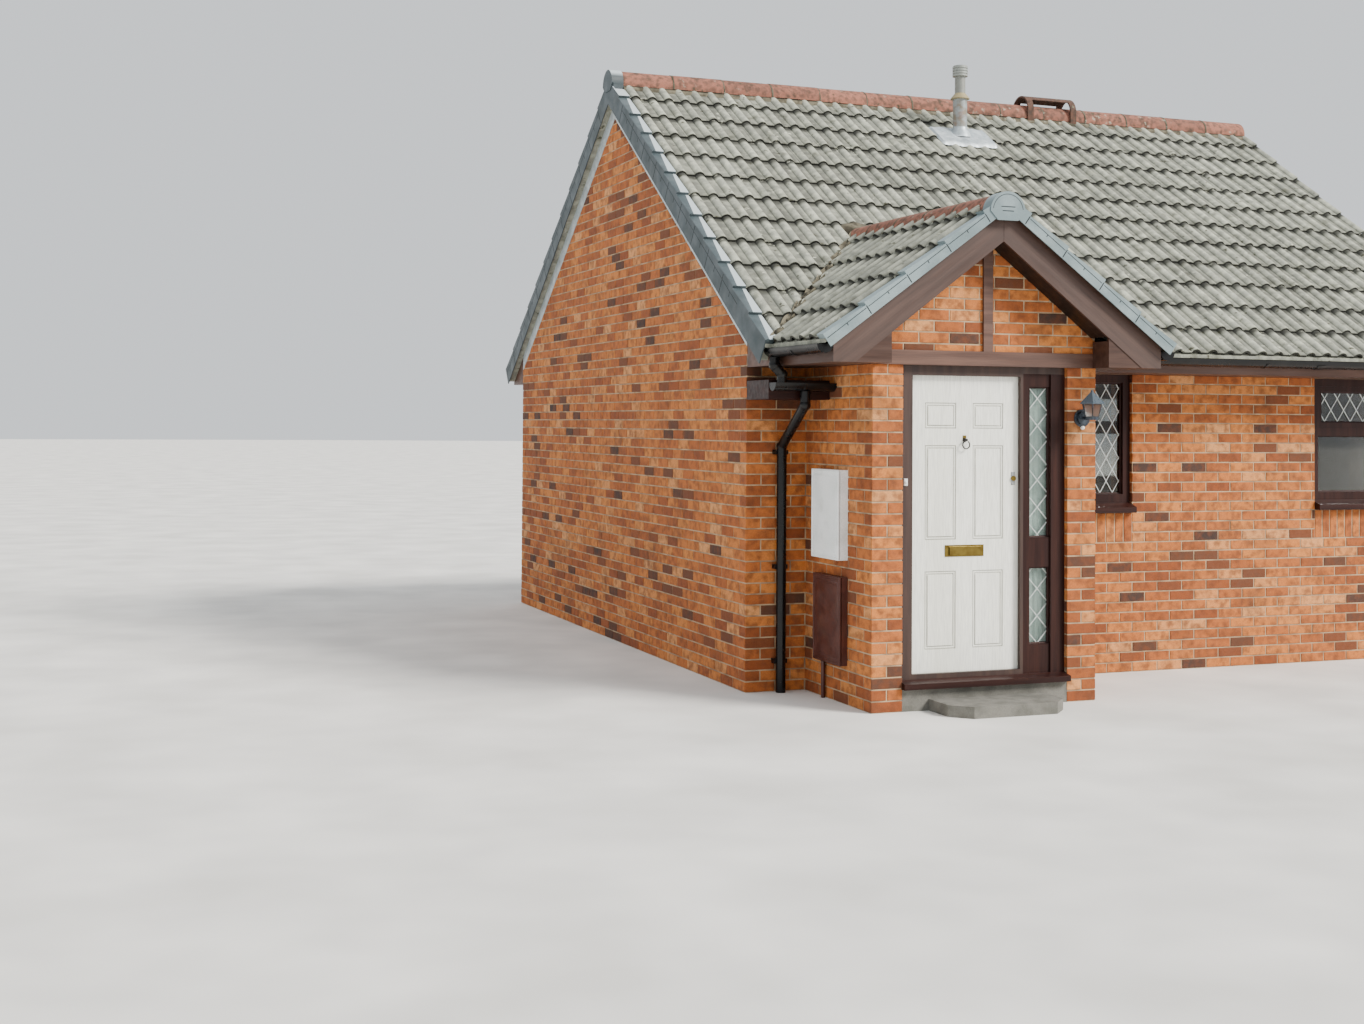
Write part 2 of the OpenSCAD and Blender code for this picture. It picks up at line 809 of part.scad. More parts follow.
// A downpipe: outlet, swan neck back to the wall and a straight drop, on the wall that faces -Y
module downpipe(x, wall, top) {
    out = wall - gutter_out;
    near = wall - pipe_r - 20;
    neck = top - 90;
    foot = neck - 280;
    pipe([x, out, top], [x, out, neck]);
    pipe([x, out, neck], [x, near, foot]);
    translate([x, near, 0]) cylinder(r = pipe_r, h = foot);
    for (z = [foot - 60, foot / 2, 200])
        block([x - pipe_r - 15, near, z], [x + pipe_r + 15, wall, z + 30]);
}

module downpipes() {
    x = px0 - 210;
    color("dimgray") {
        downpipe(x, y0, gutter_z - low_step - gutter_r);
        porch_outlet();
        mirror([0, 1, 0]) downpipe(-x, y0, gutter_z - gutter_r);
    }
}

// Knuckles and flap of one half of a butt hinge, its pin at 0 and its flap on the plane -hinge_r
module hinge_half(l, w, outer) {
    third = l / 3;
    for (i = outer ? [-1, 1] : [0]) translate([0, 0, i * third - third / 2]) {
        trim = outer ? 0 : knuckle_gap;
        translate([0, 0, trim]) cylinder(r = hinge_r, h = third - 2 * trim);
        translate([outer ? -w : 0, -hinge_r, trim]) cube([w, 3, third - 2 * trim]);
    }
}

module door_frame() {
    xj = pi0 + jamb_w;
    color("saddlebrown") {
        block([pi0, stop_y, sill_z], [xj, frame_y1, head_z]);
        block([pi0, stop_y, head_z], [pi1, frame_y1, soffit_z]);
        for (z = hinge_zs) translate([hinge_x, hinge_y, z]) hinge_half(hinge_l, leaf_gap / 2 + 30, true);
    }
}

// The lips of the frame that lap over the front of the closed leaf
module door_stops() {
    xl = pi0 + jamb_w;
    xr = mullion_x;
    y = [stop_y, stop_y + stop_d];
    color("saddlebrown") {
        block([xl, y[0], sill_z], [xl + stop_w, y[1], head_z]);
        block([xr - stop_w, y[0], sill_z], [xr, y[1], head_z]);
        block([xl, y[0], head_z - stop_w], [xr, y[1], head_z]);
        block([xl, y[0], sill_z], [xr, y[1], sill_z + bar_h]);
    }
}

// Heights of the sidelight's two panes
side_z0 = sill_z + side_low_h;
side_z1 = side_z0 + side_pane_h;
side_z2 = side_z1 + side_mid_h;
side_z3 = head_z - side_top_h;

module sidelight_frame() {
    xl = sidelight_x;
    xr = sidelight_x + sidelight_w;
    color("saddlebrown") {
        block([mullion_x, stop_y, sill_z], [xl, frame_y1, head_z]);
        block([xr, stop_y, sill_z], [pi1, frame_y1, head_z]);
        for (z = [[sill_z, side_z0], [side_z1, side_z2], [side_z3, head_z]])
            block([xl, stop_y + 12, z[0]], [xr, frame_y1 - 12, z[1]]);
    }
}

module door_sill() {
    color("saddlebrown") along_x(pi0, pi1) polygon([[py - 45, sill_z - sill_h],
        [frame_y1, sill_z - sill_h], [frame_y1, sill_z], [stop_y, sill_z], [py - 45, sill_z - 18]]);
}

module door_step() {
    xa = pm - step_w / 2;
    xb = pm + step_w / 2;
    color("gray") linear_extrude(step_h) polygon([[xa, py], [xb, py], [xb, py - step_d + step_cant],
        [xb - step_cant, py - step_d], [xa + step_cant, py - step_d], [xa, py - step_d + step_cant]]);
}

// Six panels of the door leaf: left edge, foot, width and height of each, from the leaf's corner
panel_w = (leaf_w - 3 * stile_w) / 2;
panel_rows = [[175, 510], [890, 620], [1620, 170]];

// The moulded groove round one panel, cut into a face at height 0
module panel_groove(w, h) {
    difference() {
        square([w, h]);
        translate([mould_w, mould_w]) square([w - 2 * mould_w, h - 2 * mould_w]);
    }
}

// The slot for letters, cut along Y from one plane to another
module letter_slot(ya, yb) {
    block([plate_cx - slot_l / 2, ya, plate_cz - slot_h / 2],
        [plate_cx + slot_l / 2, yb, plate_cz + slot_h / 2]);
}

module front_door() {
    color("white") for (z = hinge_zs) translate([hinge_x, hinge_y, z])
        hinge_half(hinge_l, leaf_gap / 2 + 30, false);
    color("white") difference() {
        block([leaf_x, leaf_y, leaf_z], [leaf_x + leaf_w, leaf_y + leaf_t, leaf_z + leaf_h]);
        letter_slot(leaf_y - 1, leaf_y + leaf_t + 1);
        for (row = panel_rows, col = [0, 1], face = [0, 1])
            translate([leaf_x + stile_w + col * (panel_w + stile_w),
                leaf_y + (face == 0 ? panel_in : leaf_t + 1), leaf_z + row[0]])
                rotate([90, 0, 0]) linear_extrude(panel_in + 1) panel_groove(panel_w, row[1]);
    }
}

// Middle of the letter plate, and the sizes of its flap and slot
plate_cx = leaf_x + leaf_w / 2;
plate_cz = leaf_z + plate_z;
flap_h = plate_h - 22;
flap_l = plate_l - 60;
slot_h = plate_h - 38;
slot_l = plate_l - 80;
// The flap's pin, in front of the plate
rod_r = 3;
rod_y = leaf_y - plate_t - flap_gap - rod_r / 2;
rod_z = plate_cz + flap_h / 2;

module door_furniture() {
    lock_x = leaf_x + leaf_w - 50;
    lock_z = leaf_z + lock_h;
    color("goldenrod") {
        difference() {
            block([plate_cx - plate_l / 2, leaf_y - plate_t, plate_cz - plate_h / 2],
                [plate_cx + plate_l / 2, leaf_y, plate_cz + plate_h / 2]);
            letter_slot(leaf_y - plate_t - 1, leaf_y + 1);
        }
        for (side = [-1, 1]) translate([plate_cx + side * (flap_l / 2 + knuckle_gap + 3), rod_y, rod_z]) {
            translate([-3, 0, 0]) rotate([0, 90, 0]) cylinder(r = rod_r + 1, h = 6);
            block([-3, 0, -rod_r], [3, leaf_y - rod_y - 1, rod_r]);
        }
        translate([lock_x, leaf_y, lock_z]) rotate([90, 0, 0]) cylinder(r = 17, h = 12);
        block([plate_cx - 12, leaf_y - 4, leaf_z + hook_h], [plate_cx + 12, leaf_y, leaf_z + hook_h + 40]);
    }
}

// The flap hangs on its pin along its top edge, a small gap in front of the plate
module letter_flap() {
    y = leaf_y - plate_t - flap_gap;
    color("gold") {
        block([plate_cx - flap_l / 2, y - rod_r, rod_z - flap_h], [plate_cx + flap_l / 2, y, rod_z]);
        translate([plate_cx - flap_l / 2, rod_y, rod_z]) rotate([0, 90, 0]) cylinder(r = rod_r, h = flap_l);
    }
}

// A window frame: outer members, and a transom with a casement over it where a fanlight is wanted
module window_frame(x, w, fan) {
    ya = window_in;
    yb = window_in + window_d;
    z1 = soffit_z;
    b = window_bar;
    c = casement_w;
    ft = z1 - b - fanlight_h;
    color("maroon") difference() {
        block([x, ya, win_z0], [x + w, yb, z1]);
        if (fan) {
            block([x + b, ya - 1, win_z0 + b], [x + w - b, yb + 1, ft - b]);
            block([x + b + c, ya - 1, ft + c], [x + w - b - c, yb + 1, z1 - b - c]);
            for (y = [[ya - 1, ya + 8], [yb - 8, yb + 1]])
                block([x + b, y[0], ft], [x + w - b, y[1], z1 - b]);
        } else {
            block([x + b, ya - 1, win_z0 + b], [x + w - b, yb + 1, z1 - b]);
        }
    }
}

// Both windows of one wall, the wall's outer face at y = 0 and the room behind it
module wall_frames() {
    window_frame(win_ax, window_a_w, false);
    window_frame(win_bx, window_b_w, true);
}

module window_frames() {
    translate([0, y0, 0]) wall_frames();
    translate([0, y1, 0]) mirror([0, 1, 0]) wall_frames();
}

// The panes of one window
module window_panes(x, w, fan) {
    b = window_bar;
    c = casement_w;
    ft = soffit_z - b - fanlight_h;
    y = window_in + window_d / 2;
    top = fan ? ft - b : soffit_z - b;
    block([x + b, y, win_z0 + b], [x + w - b, y + glass_t, top]);
    if (fan) block([x + b + c, y, ft + c], [x + w - b - c, y + glass_t, soffit_z - b - c]);
}

module wall_panes() {
    window_panes(win_ax, window_a_w, false);
    window_panes(win_bx, window_b_w, true);
}

module window_glass() {
    y = leaf_y;
    color("lightcyan") {
        translate([0, y0, 0]) wall_panes();
        translate([0, y1, 0]) mirror([0, 1, 0]) wall_panes();
        for (z = [[side_z0, side_z1], [side_z2, side_z3]])
            block([sidelight_x, y, z[0]], [sidelight_x + sidelight_w, y + glass_t, z[1]]);
    }
}

// A sill in section, wall face at 0: sloping top, out past the brickwork, with a drip
module sill_outline() {
    polygon([[-window_sill_out, 0], [-window_sill_out + 12, 0], [-window_sill_out + 12, 8],
        [-window_sill_out + 20, 8], [-window_sill_out + 20, 0], [window_in + window_d, 0],
        [window_in + window_d, window_sill_h], [window_in, window_sill_h],
        [-window_sill_out, window_sill_h * 0.55]]);
}

module wall_sills() {
    for (s = [[win_ax, window_a_w], [win_bx, window_b_w]])
        along_x(s[0], s[0] + s[1]) translate([0, window_z]) sill_outline();
}

module window_sills() {
    color("maroon") {
        translate([0, y0, 0]) wall_sills();
        translate([0, y1, 0]) mirror([0, 1, 0]) wall_sills();
    }
}

// Far edge of the meter boxes, where their doors are hinged, and how deep the boxes are
meter_y1 = py + meter_y + meter_w;
electric_out = meter_out - meter_gap - meter_t;
gas_out = electric_out - gas_less;

// One half of a meter door's hinge, at the mouth of a box that stands out this far
module meter_hinge(z, h, out, outer) {
    translate([px0 - out - meter_gap / 2, meter_y1 + hinge_r, z + h / 2]) mirror([1, 0, 0])
        hinge_half(hinge_l, meter_gap / 2 + (outer ? 25 : meter_t), outer);
}

// A shallow meter box on the porch's left wall, open on its outer side
module meter_shell(z, h, out) {
    ya = py + meter_y;
    difference() {
        block([px0 - out, ya, z], [px0, meter_y1, z + h]);
        block([px0 - out - 1, ya + meter_t, z + meter_t],
            [px0 - meter_t, meter_y1 - meter_t, z + h - meter_t]);
    }
    meter_hinge(z, h, out, true);
}

// Its door, over the whole front of the box
module meter_lid(z, h, out) {
    x = px0 - out - meter_gap;
    block([x - meter_t, py + meter_y, z], [x, meter_y1, z + h]);
    meter_hinge(z, h, out, false);
}

module electric_meter_box() {
    color("ghostwhite") meter_shell(meter_z, meter_h, electric_out);
}

module electric_meter_door() {
    color("white") meter_lid(meter_z, meter_h, electric_out);
}

module gas_meter_box() {
    color("saddlebrown") {
        meter_shell(gas_z, gas_h, gas_out);
        translate([px0 - gas_out / 2, meter_y1 - 90, 0]) cylinder(r = gas_pipe_r, h = gas_z + 1);
    }
}

module gas_meter_door() {
    color("saddlebrown") meter_lid(gas_z, gas_h, gas_out);
}

// Foot of the lantern's glass, and the radii of the glass there and at its top
glass_foot = lantern_z + 12;
glass_r0 = lantern_r - 41;
glass_r1 = lantern_r - 21;

module wall_lantern() {
    y = py - lantern_out;
    roof_z = glass_foot + lantern_glass_h;
    color("darkslategray") {
        translate([lantern_x, py, lantern_z]) rotate([90, 0, 0]) cylinder(r = lantern_plate_r, h = 14);
        translate([lantern_x, py, lantern_z]) rotate([90, 0, 0]) cylinder(r = lantern_plate_r - 16, h = 32);
        translate([lantern_x, py - 10, lantern_z]) rotate([90, 0, 0]) cylinder(r = 11, h = lantern_out - 10);
        translate([lantern_x, y, lantern_z - 12]) cylinder(r = glass_r0, h = 24, $fn = 6);
        translate([lantern_x, y, roof_z]) cylinder(r = lantern_r, h = 7, $fn = 6);
        translate([lantern_x, y, roof_z + 7])
            cylinder(r1 = lantern_r, r2 = 7, h = lantern_roof_h - 7, $fn = 6);
        translate([lantern_x, py - 16, lantern_z - lantern_plate_r - 4]) sphere(14);
    }
}

module lantern_glass() {
    color("lightcyan") translate([lantern_x, py - lantern_out, glass_foot])
        cylinder(r1 = glass_r0, r2 = glass_r1, h = lantern_glass_h, $fn = 6);
}

// Outline of the terminal's rings, from its foot up
terminal_z = flue_h - terminal_h;
ring_count = 4;
ring_in = 7;
function terminal_rings() = [for (i = [0 : ring_count - 1],
    p = [[0, 0], [0, 0.7], [ring_in, 0.7], [ring_in, 1]])
    [terminal_r - p[0], terminal_z + (i + p[1]) * terminal_h / ring_count]];

// The flue in its lead sleeve, with a storm collar and a ringed terminal, turned from one outline
module vent_pipe() {
    z = main_top(-flue_y);
    low = main_top(-flue_y - sleeve_r) - z;
    collar_r = sleeve_r + 22;
    color("lightslategray") translate([flue_x, -flue_y, z]) difference() {
        rotate_extrude() polygon(concat([[0, low], [sleeve_r, low], [sleeve_r, sleeve_h],
            [collar_r, sleeve_h], [collar_r, sleeve_h + 6], [flue_r, sleeve_h + 52],
            [flue_r, terminal_z]], terminal_rings(), [[0, flue_h]]));
        translate([-flue_x, flue_y, -z]) under_main(y0);
    }
}

// Lead: the slate round the flue, and the flashing down the left party wall under the roof
module leadwork() {
    ya = -flue_y - 240;
    yb = -flue_y + 160;
    w = 140;
    top = main_under(y0) - seat;
    apex = main_under(0) - seat;
    color("lightsteelblue") {
        along_x(x0 - lead_t, x0) polygon([[y0, top], [0, apex], [y1, top], [y1, top - w],
            [0, apex - w], [y0, top - w]]);
        difference() {
            along_x(flue_x - 220, flue_x + 220) translate([0, seat]) polygon([[ya, main_top(ya)],
                [yb, main_top(yb)], [yb, main_top(yb) + lead_t], [ya, main_top(ya) + lead_t]]);
            translate([flue_x, -flue_y, 0]) cylinder(r = sleeve_r + seat, h = far);
        }
    }
}

floor_slab();
ceiling();
front_wall_left();
front_wall_head();
front_wall_right();
rear_wall();
left_party_wall();
right_party_wall();
porch_left_wall();
porch_right_wall();
porch_gable_wall();
main_roof_front();
main_roof_rear();
porch_roof_left();
porch_roof_right();
ridge_tiles();
ridge_vent();
left_verge();
porch_verge();
barge_boards();
porch_soffits();
gable_frame();
main_eaves();
porch_eaves();
low_eaves_box();
main_gutters();
porch_gutters();
downpipes();
door_frame();
door_stops();
sidelight_frame();
door_sill();
door_step();
front_door();
door_furniture();
letter_flap();
window_frames();
window_glass();
window_sills();
electric_meter_box();
electric_meter_door();
gas_meter_box();
gas_meter_door();
wall_lantern();
lantern_glass();
vent_pipe();
leadwork();
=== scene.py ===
"""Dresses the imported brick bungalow: brickwork, tiles, windows, joinery, finishes and light."""
from __future__ import annotations

import logging
import math
from dataclasses import dataclass, field, replace
from enum import Enum

import bpy
import numpy as np
from mathutils import Matrix, Vector


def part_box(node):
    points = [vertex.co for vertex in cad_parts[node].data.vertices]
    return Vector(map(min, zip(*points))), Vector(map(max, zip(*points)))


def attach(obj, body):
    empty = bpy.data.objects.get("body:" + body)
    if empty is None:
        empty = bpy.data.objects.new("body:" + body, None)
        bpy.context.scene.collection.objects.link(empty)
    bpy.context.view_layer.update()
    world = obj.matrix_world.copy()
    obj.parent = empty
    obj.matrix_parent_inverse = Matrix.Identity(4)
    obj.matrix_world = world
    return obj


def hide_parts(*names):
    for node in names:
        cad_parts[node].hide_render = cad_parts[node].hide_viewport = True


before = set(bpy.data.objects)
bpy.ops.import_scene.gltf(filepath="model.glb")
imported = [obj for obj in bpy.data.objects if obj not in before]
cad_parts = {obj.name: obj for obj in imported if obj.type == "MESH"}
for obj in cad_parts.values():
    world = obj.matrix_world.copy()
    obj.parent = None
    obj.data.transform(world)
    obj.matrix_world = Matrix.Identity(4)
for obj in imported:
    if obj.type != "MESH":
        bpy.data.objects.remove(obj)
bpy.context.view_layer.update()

LOG = logging.getLogger("bungalow")
IMAGE = (1364, 1024)

EAST, NORTH, UP = np.eye(3)
WEST, SOUTH = -EAST, -NORTH

# The house in its own frame, in metres. Main block: left, right, front and rear face
X0, X1, Y0, Y1 = -3.2625, 3.2625, -2.98125, 2.98125
# Porch: outer and inner faces of its piers, its middle and its front
PX0, PX1, PI0, PI1, PM, PY = -2.8125, -1.135, -2.5975, -1.35, -1.97375, -3.99375
# Ends of the roofs: right end, left verge, verge and barge boards of the porch
ROOF_END, VERGE_X, VERGE_Y, BARGE_Y = 3.2725, -3.3225, -4.24275, -4.20275
# Lines of the eaves: main front, porch left, porch right; from a wall to its gutter's middle
EAVES_Y, EAVES_XL, EAVES_XR, GUTTER_OUT = -3.43625, -3.2675, -0.68, 0.436
# Heights of the soffit and of the eaves
SOFFIT, EAVES_Z = 2.239, 2.379
# Width of a verge unit's cover on the roof, and the heights of both ridges' middles
VERGE_COVER, MAIN_RIDGE_Z, PORCH_RIDGE_Z = 0.083, 4.7576, 3.2322
# Left and right edges of the windows, the same in front and at the back
OPENINGS = ((-0.813, -0.108), (1.6075, 2.9475))
# Foot and head of the row of bricks on edge below a window, and foot of the opening
ROW_FOOT, ROW_HEAD, OPENING_FOOT = 0.975, 1.195, 1.275
# Face of the door leaf and of the sidelight's glass
LEAF_Y = -3.92175

MAIN_PITCH, PORCH_PITCH = math.radians(35), math.radians(36)
MAIN_TAN, PORCH_TAN = math.tan(MAIN_PITCH), math.tan(PORCH_PITCH)
MAIN_COS, MAIN_SIN = math.cos(MAIN_PITCH), math.sin(MAIN_PITCH)
PORCH_COS, PORCH_SIN = math.cos(PORCH_PITCH), math.sin(PORCH_PITCH)
MAIN_LENGTH = -EAVES_Y / MAIN_COS
PORCH_LENGTH = (PM - EAVES_XL) / PORCH_COS
MAIN_CREST = EAVES_Z - EAVES_Y * MAIN_TAN
PORCH_CREST = EAVES_Z + (PM - EAVES_XL) * PORCH_TAN
GAUGE = MAIN_LENGTH / 12
VALLEY = MAIN_TAN / PORCH_TAN
MAIN_RISE, MAIN_NORMAL = np.array([[0.0, MAIN_COS, MAIN_SIN], [0.0, -MAIN_SIN, MAIN_COS]])


class Body(Enum):
    """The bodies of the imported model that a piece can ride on."""

    HOUSE = "house"
    DOOR = "door"
    ELECTRIC = "electric_door"
    GAS = "gas_door"


class Grain(Enum):
    """Which way the fibres of a timber run: how far its pattern is stretched along X, Y and Z.

    RAKED runs up both porch pitches. It differs from ACROSS by a hair, since equal values would
    make it another name of ACROSS.
    """

    NONE = (1.0, 1.0, 1.0)
    ACROSS = (0.06, 1.0, 1.0)
    RAKED = (0.0601, 1.0, 1.0)
    BACK = (1.0, 0.06, 1.0)
    UPRIGHT = (1.0, 1.0, 0.06)


def vec(*values: float) -> np.ndarray:
    """Returns the numbers as an array."""
    return np.array(values, dtype=float)


def pairs(*values: float) -> np.ndarray:
    """Returns the numbers two by two, as the points of an outline."""
    return vec(*values).reshape(-1, 2)


def linear(code: str) -> tuple[float, float, float, float]:
    """Turns a colour from sRGB to linear light.

    Args:
        code: Six hex digits.

    Returns:
        Red, green, blue and an alpha of 1.
    """
    part = [int(code[i:i + 2], 16) / 255 for i in (0, 2, 4)]
    return (*[c / 12.92 if c <= 0.04045 else ((c + 0.055) / 1.055) ** 2.4 for c in part], 1.0)


def add(tree: bpy.types.NodeTree, kind: str, links: dict | None = None, out: int | str = 0,
        **settings: object) -> bpy.types.NodeSocket | None:
    """Adds a node to a material.

    Args:
        tree: The material's tree.
        kind: Type of the node, without its prefix.
        links: Socket name or number to a value, or to the socket that feeds it.
        out: Which of its outputs is wanted.
        settings: Properties of the node.

    Returns:
        The output, or None where the node has none.
    """
    node = tree.nodes.new("ShaderNode" + kind)
    for key, value in settings.items():
        setattr(node, key, value)
    for key, value in (links or {}).items():
        if isinstance(value, bpy.types.NodeSocket):
            tree.links.new(value, node.inputs[key])
        else:
            node.inputs[key].default_value = value
    return node.outputs[out] if node.outputs else None


def mottle(tree: bpy.types.NodeTree, place: object, size: float, low: float, high: float,
           to: float = 1.0, start: float = 0.0, detail: float = 4.0) -> object:
    """Makes blotches: a noise, of which low..high is spread to start..to and held at both ends.

    Args:
        tree: The material's tree.
        place: Socket of the coordinates.
        size: Width of a blotch in millimetres.
        low: Where the spread starts.
        high: Where it ends.
        to: Value at high.
        start: Value at low.
        detail: How many finer layers the noise has.

    Returns:
        Socket of the value.
    """
    links = {"Vector": place, "Scale": 1000 / size, "Detail": detail}
    noise = add(tree, "TexNoise", links)
    return add(tree, "MapRange", {0: noise, 1: low, 2: high, 3: start, 4: to})


def shade(tree: bpy.types.NodeTree, colour: object, value: object) -> object:
    """Returns the colour times the value."""
    grey = add(tree, "CombineColor", {0: value, 1: value, 2: value})
    links = {0: 1.0, 6: colour, 7: grey}
    return add(tree, "Mix", links, 2, data_type="RGBA", blend_type="MULTIPLY")


def worn(tree: bpy.types.NodeTree, colour: object, label: str, start: float, to: float) -> object:
    """Returns the colour times start..to, by the point attribute of that name from 0 to 1."""
    value = add(tree, "Attribute", None, "Fac", attribute_name=label)
    return shade(tree, colour, add(tree, "MapRange", {0: value, 1: 0.0, 2: 1.0, 3: start, 4: to}))


def offset(tree: bpy.types.NodeTree, axis: object, middle: float) -> object:
    """Returns how far the coordinate is from the middle, to either side."""
    off = add(tree, "Math", {0: axis, 1: middle}, operation="SUBTRACT")
    return add(tree, "Math", {0: off}, operation="ABSOLUTE")


@dataclass(frozen=True)
class Finish:
    """A real material and how its surface was made. Sizes are in millimetres."""

    name: str
    base: str
    second: str
    patch: float = 150.0
    share: float = 0.5
    grain: float = 3.0
    relief: float = 0.3
    rough: float = 0.6
    spread: float = 0.12
    metallic: float = 0.0
    coat: float = 0.0
    specular: float = 0.5
    way: Grain = Grain.NONE
    tone: float = 0.0
    grime: str = "4a4436"
    grime_size: float = 400.0
    grime_share: float = 0.0
    crevice_dirt_and_shade: float = 0.0

    def sized(self, tree: bpy.types.NodeTree) -> object:
        """Returns Object coordinates, stretched along the grain."""
        place = add(tree, "TexCoord", None, "Object")
        if self.way is Grain.RAKED:
            x, y, z = add(tree, "SeparateXYZ", {0: place}).node.outputs
            place = add(tree, "CombineXYZ", {0: offset(tree, x, PM), 1: y, 2: z})
            turn = (0.0, -PORCH_PITCH, 0.0)
            place = add(tree, "Mapping", {"Vector": place, "Rotation": turn})
        return add(tree, "Mapping", {"Vector": place, "Scale": self.way.value})

    def paint(self, tree: bpy.types.NodeTree, place: object) -> object:
        """Mixes the two colours by patches, with fine grain, and ages them.

        Args:
            tree: The material's tree.
            place: Socket of the coordinates.

        Returns:
            Socket of the colour.
        """
        low, high = 0.62 - self.share * 0.4, 0.78 - self.share * 0.3
        links = {0: mottle(tree, place, self.patch, low, high), 6: linear(self.base),
                 7: linear(self.second)}
        colour = add(tree, "Mix", links, 2, data_type="RGBA")
        fine = mottle(tree, place, self.grain * 2, 0.3, 0.7, 1.12, 0.88, detail=2.0)
        return self.aged(tree, place, shade(tree, colour, fine))

    def aged(self, tree: bpy.types.NodeTree, place: object, colour: object) -> object:
        """Returns the colour with the piece's tone and grime, and darker in its hollows: soiling
        and painted shade.
        """
        if self.tone:
            colour = worn(tree, colour, "tone", 1 - self.tone, 1 + self.tone)
        if self.grime_share:
            dirt_and_shade = mottle(tree, place, self.grime_size, 0.55, 0.75, self.grime_share, detail=8.0)
            colour = add(tree, "Mix", {0: dirt_and_shade, 6: colour, 7: linear(self.grime)}, 2,
                         data_type="RGBA")
        # Darkening by the point attribute: grime, and painted shade in hollows, creases and under
        # edges
        if self.crevice_dirt_and_shade:
            colour = worn(tree, colour, "dirt_and_shade", 1.0, 1 - self.crevice_dirt_and_shade)
        return colour

    def constants(self) -> dict[str, float]:
        """Returns what else is the same all over the surface, by the shader's socket."""
        return {}

    def material(self) -> bpy.types.Material:
        """Returns the material, made the first time it is asked for."""
        found = bpy.data.materials.get(self.name)
        if found:
            return found
        made = bpy.data.materials.new(self.name)
        made.use_nodes = True
        tree = made.node_tree
        tree.nodes.clear()
        place = self.sized(tree)
        gloss = mottle(tree, place, self.patch * 0.6, 0.3, 0.7, min(self.rough + self.spread, 1.0),
                       max(self.rough - self.spread, 0.02))
        links = {"Vector": place, "Scale": 1000 / self.grain, "Detail": 3.0}
        links = {"Strength": 1.0, "Distance": self.relief / 1000,
                 "Height": add(tree, "TexNoise", links)}
        bump = add(tree, "Bump", links)
        shader = add(tree, "BsdfPrincipled", {
            "Base Color": self.paint(tree, place), "Roughness": gloss, "Metallic": self.metallic,
            "Normal": bump, "Coat Weight": self.coat, "Coat Roughness": 0.2,
            "Specular IOR Level": self.specular, **self.constants()})
        add(tree, "OutputMaterial", {"Surface": shader})
        return made


@dataclass(frozen=True)
class Brick(Finish):
    """Wire-cut clay facing, fired in mixed colours and sand-faced: each brick has its own tone."""

    firing: tuple[tuple[float, str], ...] = (
        (0.0, "3a2923"), (0.1, "5c3824"), (0.24, "8c4820"), (0.5, "b2632c"), (0.78, "c97b38"),
        (1.0, "d3925a"))

    def paint(self, tree: bpy.types.NodeTree, place: object) -> object:
        """Returns the colour of the firing, with kiss marks, soot and bloom across the face."""
        value = add(tree, "Attribute", None, "Fac", attribute_name="tone")
        colour = add(tree, "ValToRGB", {"Fac": value})
        stops = colour.node.color_ramp.elements
        for i, (at, code) in enumerate(self.firing):
            stop = stops[i] if i < 2 else stops.new(at)
            stop.position = at
            stop.color = linear(code)
        patches = mottle(tree, place, self.patch, 0.42, 0.66, 0.7, detail=5.0)
        colour = add(tree, "Mix", {0: patches, 6: colour, 7: linear(self.second)}, 2,
                     data_type="RGBA")
        sand = mottle(tree, place, self.grain * 2, 0.3, 0.75, 1.16, 0.84, detail=2.0)
        return self.aged(tree, place, shade(tree, colour, sand))


@dataclass(frozen=True)
class Tile(Finish):
    """Concrete or clay with a worn granule face: lichen in pale rings, dark specks of moss."""

    lichen: str = "c9cab8"
    moss: str = "3d3c2a"

    def paint(self, tree: bpy.types.NodeTree, place: object) -> object:
        """Returns the colour with lichen spots 20 to 60 mm across and dark specks of moss."""
        colour = super().paint(tree, place)
        spots = add(tree, "TexVoronoi", {"Vector": place, "Scale": 16.0})
        wobble = add(tree, "TexNoise", {"Vector": place, "Scale": 1000 / 14, "Detail": 3.0})
        rim = add(tree, "Math", {0: spots, 1: wobble}, operation="ADD")
        pale = add(tree, "MapRange", {0: rim, 1: 0.78, 2: 0.62, 3: 0.0, 4: 0.75})
        areas = mottle(tree, place, 260.0, 0.5, 0.66)
        pale = add(tree, "Math", {0: pale, 1: areas}, operation="MULTIPLY")
        colour = add(tree, "Mix", {0: pale, 6: colour, 7: linear(self.lichen)}, 2,
                     data_type="RGBA")
        specks = mottle(tree, place, 55.0, 0.64, 0.72, 0.9, detail=6.0)
        return add(tree, "Mix", {0: specks, 6: colour, 7: linear(self.moss)}, 2, data_type="RGBA")


@dataclass(frozen=True)
class LightAndChalkByFacing(Finish):
    """A surface paler facing up (chalking, painted sky light), darker facing down (painted shade).

    Between two heights of its upright normal, -1 to 1, the colour turns to the other one by up
    to the given share.
    """

    other: str = "b9c4ca"
    facing: tuple[float, float] = (0.45, 0.75)
    most: float = 0.85

    def paint(self, tree: bpy.types.NodeTree, place: object) -> object:
        """Returns the colour, changed where the surface faces up or down."""
        colour = super().paint(tree, place)
        # Turns to the other colour by facing: on the verges paler on top, chalking with painted sky
        # light; on the overhang darker below, painted shade
        normal = add(tree, "NewGeometry", None, "Normal")
        up = add(tree, "SeparateXYZ", {0: normal}, 2)
        links = {0: up, 1: self.facing[0], 2: self.facing[1], 3: 0.0, 4: self.most}
        links = {0: add(tree, "MapRange", links), 6: colour, 7: linear(self.other)}
        return add(tree, "Mix", links, 2, data_type="RGBA")


